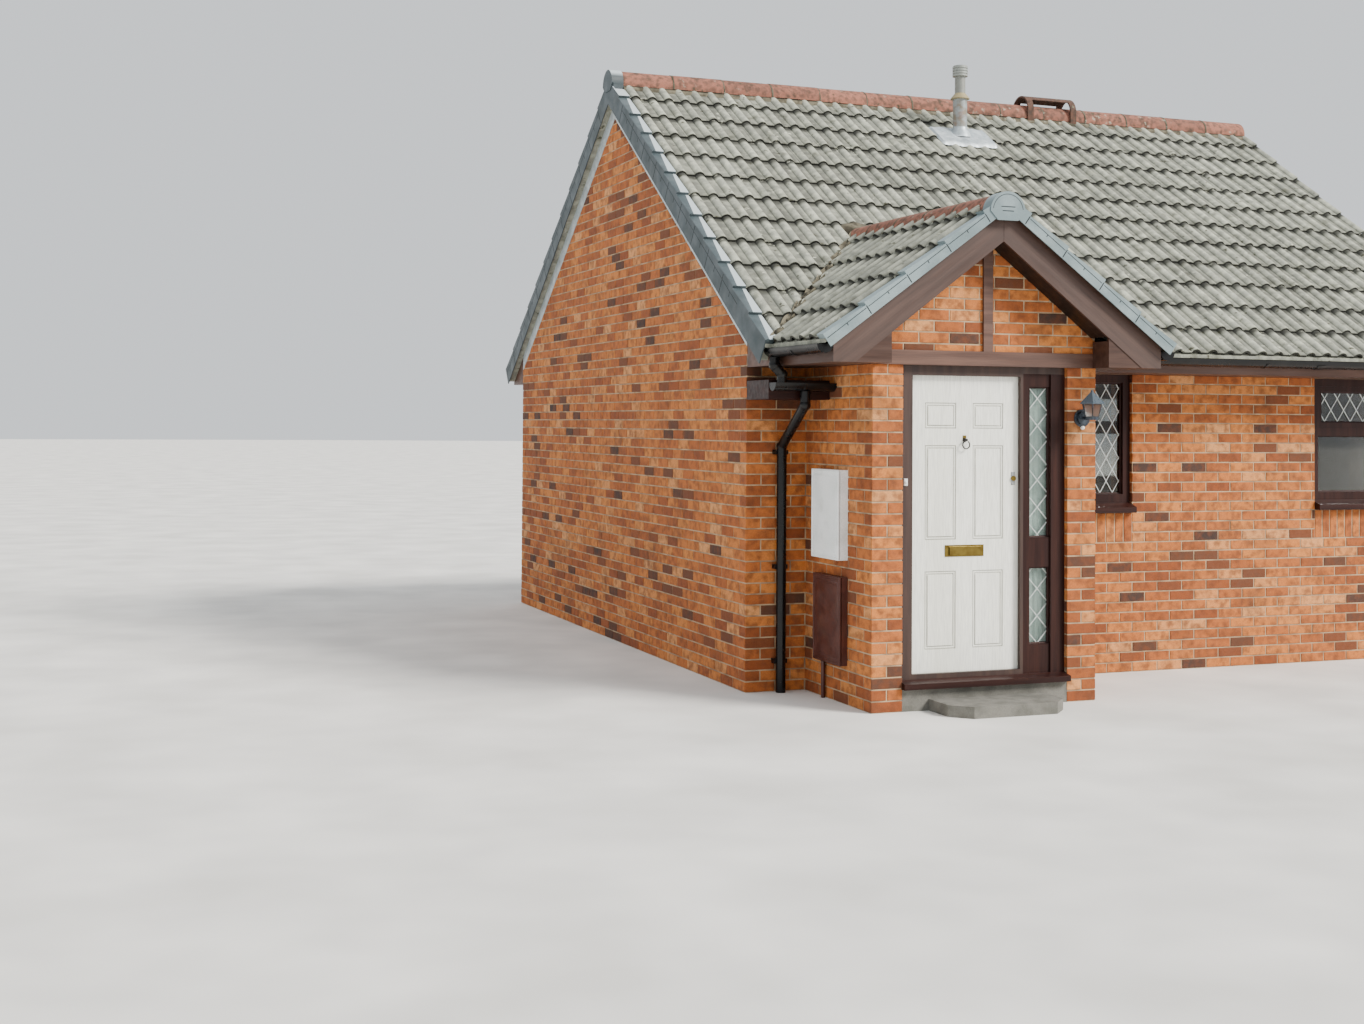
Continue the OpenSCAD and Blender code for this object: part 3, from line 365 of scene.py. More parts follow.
@dataclass(frozen=True)
class WallBody(Finish):
    """Sand and cement mortar outside; skimmed plaster where the wall faces the rooms.

    Each room is the middle and half the width of its X and of its Y.
    """

    plaster: str = "8f8b82"
    rooms: tuple[tuple[float, float, float, float], ...] = (
        (0.0, 3.05, 0.0, 2.715), (PM, 0.626, -3.296875, 0.596875))

    def paint(self, tree: bpy.types.NodeTree, place: object) -> object:
        """Returns mortar, or plaster inside the rooms and the lobby."""
        spot = add(tree, "TexCoord", None, "Object")
        x, y, _ = add(tree, "SeparateXYZ", {0: spot}).node.outputs
        inside = 0.0
        for room in self.rooms:
            both = 1.0
            for axis, middle, half in ((x, *room[:2]), (y, *room[2:])):
                links = {0: offset(tree, axis, middle), 1: half}
                links = {0: both, 1: add(tree, "Math", links, operation="LESS_THAN")}
                both = add(tree, "Math", links, operation="MULTIPLY")
            inside = add(tree, "Math", {0: inside, 1: both}, operation="MAXIMUM")
        links = {0: inside, 6: super().paint(tree, place), 7: linear(self.plaster)}
        return add(tree, "Mix", links, 2, data_type="RGBA")


@dataclass(frozen=True)
class Banded(Finish):
    """A finish that changes at given heights: (height, colour) from below."""

    bands: tuple[tuple[float, str], ...] = ()
    edge: float = 0.004

    def paint(self, tree: bpy.types.NodeTree, place: object) -> object:
        """Returns each band's colour over its own height, with the base's wear on all of them."""
        colour = super().paint(tree, place)
        spot = add(tree, "TexCoord", None, "Object")
        high = add(tree, "SeparateXYZ", {0: spot}, 2)
        for at, code in self.bands:
            links = {0: high, 1: at - self.edge, 2: at + self.edge, 3: 0.0, 4: 1.0}
            above = add(tree, "MapRange", links)
            wear = mottle(tree, place, 30.0, 0.35, 0.7, 0.25, detail=6.0)
            links = {0: wear, 6: linear(code), 7: linear(self.second)}
            tint = add(tree, "Mix", links, 2, data_type="RGBA")
            colour = add(tree, "Mix", {0: above, 6: colour, 7: tint}, 2, data_type="RGBA")
        return colour


@dataclass(frozen=True)
class Glass(Finish):
    """Float or frosted glass; body is how much of the light meets its surface."""

    body: float = 0.4

    def constants(self) -> dict[str, float]:
        """Lets light through, so that the rooms show behind the reflection."""
        return {"Transmission Weight": 1.0, "IOR": 1.45, "Alpha": self.body}


# Wire-cut clay: dusty, orange to plum, with sand grains that catch no gloss
BRICK = Brick("sand_faced_multi_brick", "b2632c", "6e3a1c", patch=55, grain=3, relief=0.7,
              rough=0.9, spread=0.06, grime="3f3022", grime_size=420, grime_share=0.45)
# Weathered sand and cement, pale buff and gritty
MORTAR = WallBody("weathered_buff_mortar", "b89d7c", "8e775e", patch=120, grain=2, relief=0.6,
                  rough=0.95, spread=0.04, grime="4c4234", grime_size=500, grime_share=0.5)
# Bedding mortar on the roof, stained ochre and green
BEDDING = Tile("mossy_bedding_mortar", "7d7662", "565040", patch=60, grain=4, relief=1.5,
               rough=0.95, spread=0.04, grime="3a3626", grime_size=120, grime_share=0.8,
               crevice_dirt_and_shade=0.8)
# Pressed concrete tiles: their colour coat is worn off to pale greenish grey
TILE = Tile("weathered_concrete_tile", "94968a", "b4b6a5", patch=70, grain=4, relief=0.9,
            rough=0.93, spread=0.05, tone=0.16, grime="45442f", grime_size=130, grime_share=0.6,
            crevice_dirt_and_shade=0.9)
# Fired clay ridge tiles, pinkish red and matt
TERRACOTTA = Tile("weathered_terracotta", "95604e", "6d4a3c", patch=45, grain=4, relief=0.8,
                  rough=0.88, spread=0.06, tone=0.25, grime="3f3528", grime_size=90,
                  grime_share=0.9, lichen="a99f8c")
# The same clay on the vent, browned by damp and moss
VENT_CLAY = Tile("mossy_brown_terracotta", "5d4033", "43332a", patch=40, grain=4, relief=0.9,
                 rough=0.9, spread=0.06, grime="332c20", grime_size=70, grime_share=0.9,
                 lichen="8f8a72")
# Dry verge units, slate grey plastic, paler on top by chalking and painted sky light
SLATE_GREY = LightAndChalkByFacing("chalked_sky_lit_slate_grey_pvc", "3c484c", "4c575c", patch=180, grain=2,
                     relief=0.15, rough=0.55, tone=0.12, grime="39403f", grime_size=260,
                     grime_share=0.5, other="c9d4d8")
# The same plastic where the units round over and rain keeps it dark
SLATE_FLANK = Finish("slate_grey_pvc", "414d51", "525d61", patch=160, grain=2, relief=0.15,
                     rough=0.5, grime="333a3a", grime_size=200, grime_share=0.5)
# The same moulding in pale blue grey over the porch, paler on top by chalking and painted sky light
PALE_GREY = LightAndChalkByFacing("chalked_sky_lit_blue_grey_pvc", "748589", "8a9a9d", patch=180, grain=2, relief=0.15,
                    rough=0.5, tone=0.1, grime="5d6964", grime_size=240, grime_share=0.5,
                    other="8fa0a4")
# Softwood boards under a brown microporous stain, satin, with fine dark fibre lines
STAIN_ACROSS = Finish("brown_stained_softwood_across", "4e3328", "624437", patch=60, grain=5,
                      relief=0.5, rough=0.5, way=Grain.ACROSS, grime="2b1c16", grime_size=300,
                      grime_share=0.45)
# Darker copies of the same stain: painted shade on the barge boards, the porch's eaves and the door
# frame
STAIN_RAKED = replace(STAIN_ACROSS, name="brown_stained_softwood_raked", base="3b261e",
                      second="4c362d", way=Grain.RAKED, grime_share=0.5)
STAIN_BACK = replace(STAIN_ACROSS, name="brown_stained_softwood_back", base="3c261d",
                     second="4c3328", way=Grain.BACK)
STAIN_UPRIGHT = replace(STAIN_ACROSS, name="brown_stained_softwood_upright", base="301c15",
                        second="3f2a21", way=Grain.UPRIGHT)
# The same boards on the overhang: browned by the sun in front, with painted shade underneath,
# almost black
STAIN_SHADED = LightAndChalkByFacing("brown_stained_softwood_shaded_below", "3b261e", "4c362d", patch=60, grain=5,
                       relief=0.5, rough=0.5, specular=0.3, way=Grain.ACROSS, grime="2b1c16",
                       grime_size=300, grime_share=0.45, other="150d0a", facing=(-0.2, -0.5),
                       most=0.9)
# Hardwood under dark mahogany stain, glossier, almost black in the shade
MAHOGANY = Finish("dark_mahogany_stained_hardwood", "26110e", "331a15", patch=50, grain=4,
                  relief=0.3, rough=0.45, specular=0.2, way=Grain.UPRIGHT, grime="160b09",
                  grime_size=220, grime_share=0.4)
MAHOGANY_ACROSS = replace(MAHOGANY, name="dark_mahogany_stained_hardwood_across",
                          way=Grain.ACROSS)
# Extruded PVC rainwater goods, black with a dusty sheen
BLACK_PVC = Finish("dusty_black_pvc", "060607", "0d0d10", patch=200, grain=1.5, relief=0.08,
                   rough=0.3, spread=0.1, specular=0.3, grime="2c2b27", grime_size=260,
                   grime_share=0.3)
# Gloss paint on a moulded door skin, off white, with a faint embossed wood grain
WHITE_PAINT = Finish("off_white_gloss_paint", "f3f3ea", "edede2", patch=300, grain=3,
                     relief=0.12, rough=0.32, spread=0.06, coat=0.2, way=Grain.UPRIGHT,
                     grime="d8d5c6", grime_size=350, grime_share=0.35, crevice_dirt_and_shade=0.45)
# Hot-pressed glass fibre, white gone slightly grey
WHITE_GRP = Finish("weathered_white_grp", "f8fbfa", "eef3f1", patch=160, grain=3, relief=0.12,
                   rough=0.45, grime="a9ada4", grime_size=150, grime_share=0.35)
# Injection-moulded brown plastic, satin
BROWN_PLASTIC = Finish("moulded_brown_plastic", "46221b", "532b22", patch=120, grain=2,
                       relief=0.12, rough=0.42, grime="5b4234", grime_size=150,
                       grime_share=0.35)
# Rolled brass under lacquer, gone brown at its rims
BRASS = Finish("tarnished_lacquered_brass", "7f6c36", "6a572a", patch=60, grain=1, relief=0.05,
               rough=0.36, spread=0.06, metallic=1.0)
# Milled lead sheet, dressed by hand, with a pale patina
LEAD = Finish("patinated_sheet_lead", "b3bdc2", "cbd3d6", patch=90, grain=12, relief=0.6,
              rough=0.5, spread=0.15, metallic=0.35, grime="5c6265", grime_size=140,
              grime_share=0.5)
# Lead cames between the diamond quarries, bright grey
CAME = Finish("drawn_lead_came", "e2e8e4", "c6cecb", patch=20, grain=2, relief=0.08, rough=0.4,
              metallic=0.3)
# Flue: lead sleeve, ochre storm collar, zinc-coated pipe with rust, grey terminal
FLUE = Banded("zinc_coated_flue", "9aa1a2", "83796a", patch=70, grain=4, relief=0.25, rough=0.5,
              metallic=0.25, grime="8a5a3a", grime_size=90, grime_share=0.7,
              bands=((4.775, "a99b72"), (4.83, "8c8f8a"), (4.98, "9ca19c")))
# Cast concrete, pale grey with exposed sand
CONCRETE = Finish("cast_concrete", "75736c", "605f58", patch=120, grain=4, relief=0.8,
                  rough=0.92, spread=0.05, grime="4d4c44", grime_size=200, grime_share=0.6)
# Skimmed plasterboard under matt emulsion
PLASTER = Finish("matt_white_emulsion", "a9a69d", "a09d94", patch=400, grain=6, relief=0.1,
                 rough=0.9, spread=0.04)
# Drawn float glass: clear, faintly green, with a slight waviness in its reflection
GLASS = Glass("float_glass", "dfe8e4", "d6e2de", patch=500, grain=900, relief=0.2, rough=0.03,
              spread=0.01)
# Frosted glass of the lantern, milky
FROSTED = Glass("frosted_glass", "dfe6e6", "ccd4d4", patch=60, grain=2, relief=0.3, rough=0.5,
                body=0.9)
# Cast aluminium under blue-black enamel below, silver-blue roof above the glass
LANTERN = Banded("enamelled_cast_aluminium", "232a33", "39424c", patch=40, grain=3, relief=0.1,
                 rough=0.35, metallic=0.2, grime="4c5258", grime_size=60, grime_share=0.5,
                 bands=((1.9955, "515e68"),))
# Polyethylene lens, milky white
LENS = Finish("milky_polyethylene", "e4e6e4", "d5d8d6", patch=30, grain=1, relief=0.03,
              rough=0.35)
# Chromed zinc casting
STEEL = Finish("worn_chromed_zinc", "b4b6b6", "8f9191", patch=20, grain=1, relief=0.03,
               rough=0.25, metallic=0.9)
# Black ironmongery
IRON = Finish("black_japanned_iron", "1b1a1b", "2c2a29", patch=20, grain=1.5, relief=0.1,
              rough=0.5, metallic=0.3)
# Knitted polyester net, pale blue grey, hung in folds
NET = Finish("knitted_polyester_net", "a9bab3", "93a59e", patch=120, grain=3, relief=0.5,
             rough=0.9, spread=0.05)
# Dark joints and grooves between moulded units
JOINT = Finish("shadowed_open_joint", "2a3032", "1d2224", patch=60, grain=3, relief=0.2,
               rough=0.9, spread=0.05)
# Matt screed, pale and even, that soft shadows show on
STUDIO_FLOOR = Finish("pale_studio_floor", "e4e2dd", "e4e2dd", patch=2000, grain=400,
                      relief=0.02, rough=0.9, spread=0.02)


def dress(finish: Finish, *nodes: str) -> None:
    """Gives CAD nodes their finish."""
    for node in nodes:
        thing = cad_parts[node]
        if not thing.material_slots:
            thing.data.materials.append(finish.material())
        for slot in thing.material_slots:
            slot.material = finish.material()


def quads(rows: int, cols: int, wrap: bool = False) -> np.ndarray:
    """Joins a grid of points into four-sided faces.

    Args:
        rows: Points down the grid.
        cols: Points across it.
        wrap: Whether the last row joins the first.

    Returns:
        Faces: point (r, c) joins (r, c + 1), (r + 1, c + 1) and (r + 1, c).
    """
    r = np.arange(rows if wrap else rows - 1)[:, None]
    c = np.arange(cols - 1)[None, :]
    after = (r + 1) % rows
    faces = [r * cols + c, r * cols + c + 1, after * cols + c + 1, after * cols + c]
    return np.stack(faces, axis=-1).reshape(-1, 4)


@dataclass
class Shell:
    """Patches of surface that are gathered into one mesh."""

    points: list[np.ndarray] = field(default_factory=list)
    faces: list[list[int]] = field(default_factory=list)
    tones: list[np.ndarray] = field(default_factory=list)
    dirt_and_shade_values: list[np.ndarray] = field(default_factory=list)
    size: int = 0

    def put(self, points: np.ndarray, faces: np.ndarray, tone: float | np.ndarray = 0.5,
            dirt_and_shade: float | np.ndarray = 0.0) -> None:
        """Adds a patch: points, faces by number, each point's tone, and its grime and painted
        shade.
        """
        flat = points.reshape(-1, 3)
        self.points.append(flat)
        self.faces.extend((np.asarray(faces) + self.size).tolist())
        self.tones.append(np.broadcast_to(tone, len(flat)))
        self.dirt_and_shade_values.append(np.broadcast_to(dirt_and_shade, len(flat)))
        self.size += len(flat)

    def grid(self, points: np.ndarray, tone: float = 0.5, wrap: bool = False,
             dirt_and_shade: float | np.ndarray = 0.0) -> None:
        """Adds a grid of points, rows by columns by three; grime and painted shade go by the
        columns.
        """
        rows, cols = points.shape[:2]
        dirt_and_shade = np.tile(np.broadcast_to(dirt_and_shade, cols), rows)
        self.put(points, quads(rows, cols, wrap), tone, dirt_and_shade)

    def piece(self, name: str, finish: Finish, slot: str, body: Body = Body.HOUSE,
              smooth: float = 0.0) -> bpy.types.Object:
        """Makes the piece: one mesh, its material, and the body that it rides on.

        Args:
            name: Name of the piece.
            finish: What it is made of.
            slot: Material slot of the record; not used.
            body: Body of the model that carries it.
            smooth: Edges flatter than this angle in degrees are shaded round.

        Returns:
            The new object.
        """
        mesh = bpy.data.meshes.new(name)
        mesh.from_pydata(np.concatenate(self.points).tolist(), [], self.faces)
        # Point attributes: each point's tone, and its darkening by grime and painted shade
        for label, values in (("tone", self.tones), ("dirt_and_shade", self.dirt_and_shade_values)):
            flat = np.concatenate(values).astype(np.float32)
            mesh.attributes.new(label, "FLOAT", "POINT").data.foreach_set("value", flat)
        if smooth:
            mesh.polygons.foreach_set("use_smooth", [True] * len(mesh.polygons))
            mesh.set_sharp_from_angle(angle=math.radians(smooth))
        mesh.update()
        mesh.materials.append(finish.material())
        thing = bpy.data.objects.new(name, mesh)
        bpy.context.scene.collection.objects.link(thing)
        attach(thing, body.value)
        LOG.info("%s: %d faces", name, len(self.faces))
        return thing


def bars(shell: Shell, starts: np.ndarray, ends: np.ndarray, out: np.ndarray, width: float,
         high: float) -> None:
    """Adds straight bars of half-hexagon section: start + t (end - start) + section point.

    Args:
        shell: Where they go.
        starts: First ends, n by 3.
        ends: Second ends.
        out: Direction in which the bars stand proud.
        width: Width at their foot.
        high: How far they stand proud.
    """
    side = np.cross(ends - starts, out)
    side /= np.linalg.norm(side, axis=1, keepdims=True)
    section = pairs(-0.5, 0, -0.28, 1, 0.28, 1, 0.5, 0) * vec(width, high)
    ring = -side[:, None] * section[None, :, :1] + out * section[None, :, 1:]
    points = np.stack([starts[:, None] + ring, ends[:, None] + ring], axis=1)
    faces = np.array([[0, 1, 5, 4], [1, 2, 6, 5], [2, 3, 7, 6], [3, 0, 4, 7], [0, 3, 2, 1],
                      [4, 5, 6, 7]])
    first = np.arange(len(starts))[:, None, None] * 8
    shell.put(points, (first + faces[None, :, ::-1]).reshape(-1, 4))


def mould(shell: Shell, corner: np.ndarray, across: np.ndarray, size: tuple[float, float],
          section: np.ndarray, dirt_and_shade: float | np.ndarray = 0.0) -> None:
    """Adds a moulding mitred round an upright rectangle: corner + inward diagonal x + out y.

    Args:
        shell: Where it goes.
        corner: Lower left corner of the rectangle.
        across: Direction of its width; the moulding stands proud towards across x up.
        size: Its width and height.
        section: Points of the section: distance in from the rectangle, and height.
        dirt_and_shade: How much darker each point of the section is, by grime and painted shade.
    """
    out = np.cross(across, UP)
    signs = pairs(0, 0, 1, 0, 1, 1, 0, 1)
    path = corner + signs[:, :1] * size[0] * across + signs[:, 1:] * size[1] * UP
    inward = (1 - 2 * signs[:, :1]) * across + (1 - 2 * signs[:, 1:]) * UP
    points = path[:, None] + inward[:, None] * section[None, :, :1] + out * section[None, :, 1:]
    dirt_and_shade = np.broadcast_to(dirt_and_shade, len(section))[::-1]
    shell.grid(points[:, ::-1], wrap=True, dirt_and_shade=dirt_and_shade)


def board(shell: Shell, corner: np.ndarray, across: np.ndarray, size: tuple[float, float],
          thick: float) -> None:
    """Adds an upright board: edges, an eased arris of a fifth of its thickness, and its face.

    Args:
        shell: Where it goes.
        corner: Lower left corner at its back.
        across: Direction of its width.
        size: Width and height.
        thick: Thickness, towards across x up.
    """
    ease = thick / 5
    mould(shell, corner, across, size, pairs(0, 0, 0, thick - ease, ease, thick))
    face = pairs(0, 0, 1, 0, 1, 1, 0, 1) * (vec(*size) - 2 * ease) + ease
    points = corner + face[:, :1] * across + face[:, 1:] * UP + thick * np.cross(across, UP)
    shell.put(points, np.array([[0, 1, 2, 3]]))


def turned(shell: Shell, centre: np.ndarray, axis: np.ndarray, outline: np.ndarray,
           count: int = 20) -> None:
    """Adds a turned shape: centre + axis * height + radius * (cos, sin) round the axis.

    Args:
        shell: Where it goes.
        centre: Point on the axis that heights count from.
        axis: Direction of the axis.
        outline: Radius and height, point by point.
        count: Points round the axis.
    """
    side = np.cross(axis, vec(0.3, 0.5, 0.8))
    side /= np.linalg.norm(side)
    angle = np.arange(count) * 2 * math.pi / count
    spoke = np.cos(angle)[:, None] * side + np.sin(angle)[:, None] * np.cross(axis, side)
    points = centre + spoke[:, None] * outline[None, :, :1] + axis * outline[None, :, 1:]
    shell.put(points, quads(count, len(outline), wrap=True)[:, ::-1])


def clump(shell: Shell, spot: np.ndarray, rise: np.ndarray, size: tuple[float, float, float],
          rng: np.random.Generator, dirt_and_shade: float) -> None:
    """Adds a lump pressed on the main slope: height = size[2] (1 - r^4), roughened.

    Args:
        shell: Shell that it joins.
        spot: Its middle on the slope's surface.
        rise: Direction of its length in the slope.
        size: Half its width, half its length, and its height.
        rng: Source of the roughness.
        dirt_and_shade: How much darker its rim is.
    """
    rings, spokes = 7, 16
    r = np.linspace(0, 1, rings)[None, :]
    a = np.radians(np.arange(spokes) * 360 / spokes)[:, None]
    edge = 1 + rng.normal(0, 0.07, (spokes, 1))
    rough = rng.normal(0, 0.04, (spokes, rings)) * size[2] * (r > 0.2)
    high = size[2] * (1 - r ** 4) - 0.004 + rough
    points = (spot + (size[0] * r * edge * np.cos(a))[..., None] * np.cross(rise, MAIN_NORMAL)
              + (size[1] * r * edge * np.sin(a))[..., None] * rise
              + high[..., None] * MAIN_NORMAL)
    # Darker towards the rim
    dirt_and_shade = np.tile(dirt_and_shade * (0.4 + 0.6 * r[0] ** 2), spokes)
    shell.put(points, quads(spokes, rings, wrap=True), 0.5, dirt_and_shade)


@dataclass
class Wall:
    """A face of brickwork: where it starts, which way it runs, and what interrupts it.

    A hole is its left, right, foot and head, a gable its middle, crest and slope. Corners are the
    numbers of the house's corners at both ends, 0 where there is none.
    """

    start: np.ndarray
    run: np.ndarray
    length: float
    top: float = SOFFIT
    foot: float = 0.0
    half: int = 0
    from_end: bool = False
    corners: tuple[int, int] = (0, 0)
    first: bool = True
    holes: tuple[tuple[float, float, float, float], ...] = ()
    gable: tuple[float, float, float] | None = None
    proud: float = 0.004


@dataclass
class Brickwork:
    """Stretcher bond in 75 mm courses, 4 mm proud of the mortar that the CAD walls stand for.

    Bricks narrower than least, or than sliver once they are cut, are left out. Gable is the crest
    of the porch gable's bricks and the rise of the barge boards over their run.
    """

    pitch: float = 0.225
    course: float = 0.075
    joint: float = 0.010
    cant: float = 0.003
    hair: float = 0.0005
    least: float = 0.012
    sliver: float = 0.015
    reveal: float = 0.030
    return_depth: float = 0.035
    plinth: float = 0.225
    roof_thick: float = 0.14
    left_lower: float = 0.14
    gable: tuple[float, float] = (3.052, 805 / 1068)
    rng: np.random.Generator = field(default_factory=lambda: np.random.default_rng(7))
    corner_seed: int = 23
    corner_kinds: int = 97
    laid: int = 0

    def tones(self, count: int) -> np.ndarray:
        """Returns a tone for each brick: most are orange, about one in nine is burnt dark."""
        tone = np.clip(self.rng.normal(0.58, 0.2, count), 0.24, 1.0)
        burnt = self.rng.random(count) < 0.11
        tone[burnt] = self.rng.uniform(0.0, 0.2, int(burnt.sum()))
        return tone

    def corner_tones(self) -> np.ndarray:
        """Returns the tones of the corner bricks, the same on both faces of a corner."""
        held, self.rng = self.rng, np.random.default_rng(self.corner_seed)
        tone = self.tones(self.corner_kinds)
        self.rng = held
        return tone

    def lay(self, wall: Wall) -> tuple[np.ndarray, np.ndarray]:
        """Works out the bricks: brick k starts at 225 k, half a brick less on every other course.

        Args:
            wall: The wall's face.

        Returns:
            For each brick its left, right, foot and top in the wall, and its tone.
        """
        count = math.ceil((wall.top - wall.foot) / self.course)
        numbers = np.arange(0, int(wall.length / self.pitch) + 3)
        c, k = (a.ravel() for a in np.meshgrid(np.arange(count), numbers, indexing="ij"))
        left = k * self.pitch - self.pitch / 2 * ((c + wall.half) % 2)
        right = left + self.pitch - self.joint
        if wall.from_end:
            left, right = wall.length - right, wall.length - left
        tone = self.tones(len(c))
        reach = wall.proud if wall.first else self.hair
        at_start, at_end = left < self.hair, right > wall.length - self.hair
        for near, corner in ((at_start, wall.corners[0]), (at_end, wall.corners[1])):
            own = self.corner_tones()[(corner * 17 + c * 7) % self.corner_kinds]
            tone = np.where(near & (corner > 0), own, tone)
        left = np.where(at_start, -reach if wall.corners[0] else 0.0, left)
        right = np.where(at_end, wall.length + (reach if wall.corners[1] else 0.0), right)
        low = wall.foot + c * self.course + self.joint / 2
        high = np.minimum(low + self.course - self.joint, wall.top)
        keep = (right - left > self.least) & (high - low > self.least) & (left < wall.length)
        for a, b, bottom, top in wall.holes:
            level = (low < top - 0.002) & (high > bottom + 0.002)
            keep &= ~(level & (left >= a - 0.001) & (right <= b + 0.001))
            right = np.where(level & (left < a) & (right > a), a, right)
            left = np.where(level & (right > b) & (left < b) & (left >= a), b, left)
        if wall.gable:
            middle, crest, slope = wall.gable
            reach = (crest - low - 0.010) / slope
            left, right = np.maximum(left, middle - reach), np.minimum(right, middle + reach)
        keep &= right - left > self.sliver
        return np.stack([left, right, low, high], axis=1)[keep], tone[keep]

    @staticmethod
    def rings(wall: Wall, bricks: np.ndarray) -> list[tuple[np.ndarray, np.ndarray]]:
        """Turns bricks into outlines: four corners, or six where a gable's slope cuts them.

        Args:
            wall: The wall's face.
            bricks: Left, right, foot and top of each.

        Returns:
            Numbers of the bricks and their outlines, n by corners by 2, for both kinds.
        """
        left, right, low, high = bricks.T

        def outline(*corners: tuple[np.ndarray, np.ndarray]) -> np.ndarray:
            """Returns the corners of all bricks, n by corners by 2."""
            return np.stack([np.stack(p, axis=1) for p in corners], 1)

        whole = outline((left, low), (right, low), (right, high), (left, high))
        if not wall.gable:
            return [(np.arange(len(bricks)), whole)]
        middle, crest, slope = wall.gable
        edge = [crest - slope * np.abs(u - middle) for u in (left, right)]
        cut = np.minimum(edge[0], edge[1]) < high
        off = np.maximum(0, np.maximum(left - middle, middle - right))
        peak = np.minimum(high, crest - slope * off - 0.002)
        reach = (crest - peak) / slope
        a = np.clip(middle - reach, left + 0.004, right - 0.008)
        b = np.clip(middle + reach, a + 0.004, right - 0.004)
        sides = [np.clip(e, low + 0.004, peak) for e in edge]
        top_a, top_b = (np.minimum(peak, crest - slope * np.abs(u - middle)) for u in (a, b))
        ring = outline((left, low), (right, low), (right, sides[1]), (b, top_b), (a, top_a),
                       (left, sides[0]))
        return [(np.flatnonzero(~cut), whole[~cut]), (np.flatnonzero(cut), ring[cut])]

    def solid(self, shell: Shell, wall: Wall, bricks: np.ndarray, tone: np.ndarray) -> None:
        """Adds bricks: sides up from the mortar, a 3 mm cant and a face, each at its own depth."""
        out = np.cross(wall.run, UP)
        for which, ring in self.rings(wall, bricks):
            n, m = ring.shape[:2]
            size = ring.max(axis=1, keepdims=True) - ring.min(axis=1, keepdims=True)
            middle = ring.min(axis=1, keepdims=True) + size / 2
            inner = middle + (ring - middle) * (1 - 2 * self.cant / size)
            depth = wall.proud + self.rng.uniform(-0.0007, 0.0004, (n, m))
            layers = [(ring, np.full((n, m), -0.001)), (ring, depth - 0.0022), (inner, depth)]
            points = np.stack([wall.start + r[..., :1] * wall.run + r[..., 1:] * UP
                               + d[..., None] * out for r, d in layers], axis=1)
            side = np.array([[i, (i + 1) % m, (i + 1) % m + m, i + m] for i in range(m)])
            base = np.arange(n)[:, None] * 3 * m
            sides = (base[..., None] + np.concatenate([side, side + m])[None]).reshape(-1, 4)
            shell.put(points, sides, np.repeat(tone[which], 3 * m))
            face = base + np.arange(2 * m, 3 * m) + shell.size - n * 3 * m
            shell.faces.extend(face.tolist())
            self.laid += n

    def walls(self, shell: Shell, *walls: Wall) -> Shell:
        """Lays walls and returns their shell."""
        for wall in walls:
            self.solid(shell, wall, *self.lay(wall))
        return shell

    def row(self, shell: Shell, start: np.ndarray, run: np.ndarray, length: float) -> None:
        """Adds the row on edge under a window: upright bricks at about 75 mm.

        Args:
            shell: Where it goes.
            start: Its first end, at the ground.
            run: Its direction.
            length: Its length.
        """
        count = round(length / self.course)
        step = length / count
        left = np.arange(count) * step + self.joint / 2
        bricks = np.stack([left, left + step - self.joint, np.full(count, ROW_FOOT + 0.005),
                           np.full(count, ROW_HEAD)], axis=1)
        self.solid(shell, Wall(start, run, length), bricks, self.tones(count))

    def build(self) -> None:
        """Lays every face of the house, in six pieces, and dresses the CAD walls as mortar."""
        holes = tuple((a - PX1, b - PX1, ROW_FOOT, 3.0) for a, b in OPENINGS)
        front = self.walls(Shell(), Wall(vec(X0, Y0, 0), EAST, PX0 - X0, corners=(1, 0)),
                           Wall(vec(PX1, Y0, 0), EAST, X1 - PX1, from_end=True, corners=(0, 2),
                                holes=holes))
        holes = tuple((X1 - b, X1 - a, ROW_FOOT, 3.0) for a, b in OPENINGS)
        rear = self.walls(Shell(), Wall(vec(X1, Y1, 0), WEST, X1 - X0, corners=(3, 4),
                                        holes=holes))
        for shell, y, run, back in ((front, Y0, EAST, NORTH), (rear, Y1, WEST, SOUTH)):
            for edges in OPENINGS:
                near, far = (vec(x, y, 0) for x in (edges if y < 0 else edges[::-1]))
                self.row(shell, near, run, edges[1] - edges[0])
                jamb = {"length": self.reveal, "foot": OPENING_FOOT, "proud": 0.002}
                self.walls(shell, Wall(near, back, **jamb),
                           Wall(far + back * self.reveal, -back, **jamb))
        front.piece("front_bricks", BRICK, "brick")
        rear.piece("rear_bricks", BRICK, "brick")

        depth = Y1 - Y0
        crest = MAIN_CREST - self.roof_thick / MAIN_COS - 0.008
        for name, start, run, lead, corners in (
                ("left_party_bricks", vec(X0, Y1, 0), SOUTH, self.left_lower, (4, 1)),
                ("right_party_bricks", vec(X1, Y0, 0), NORTH, 0.0, (2, 3))):
            wall = Wall(start, run, depth, 5.0, half=1, corners=corners, first=False,
                        gable=(depth / 2, crest - lead, MAIN_TAN))
            self.walls(Shell(), wall).piece(name, BRICK, "brick")

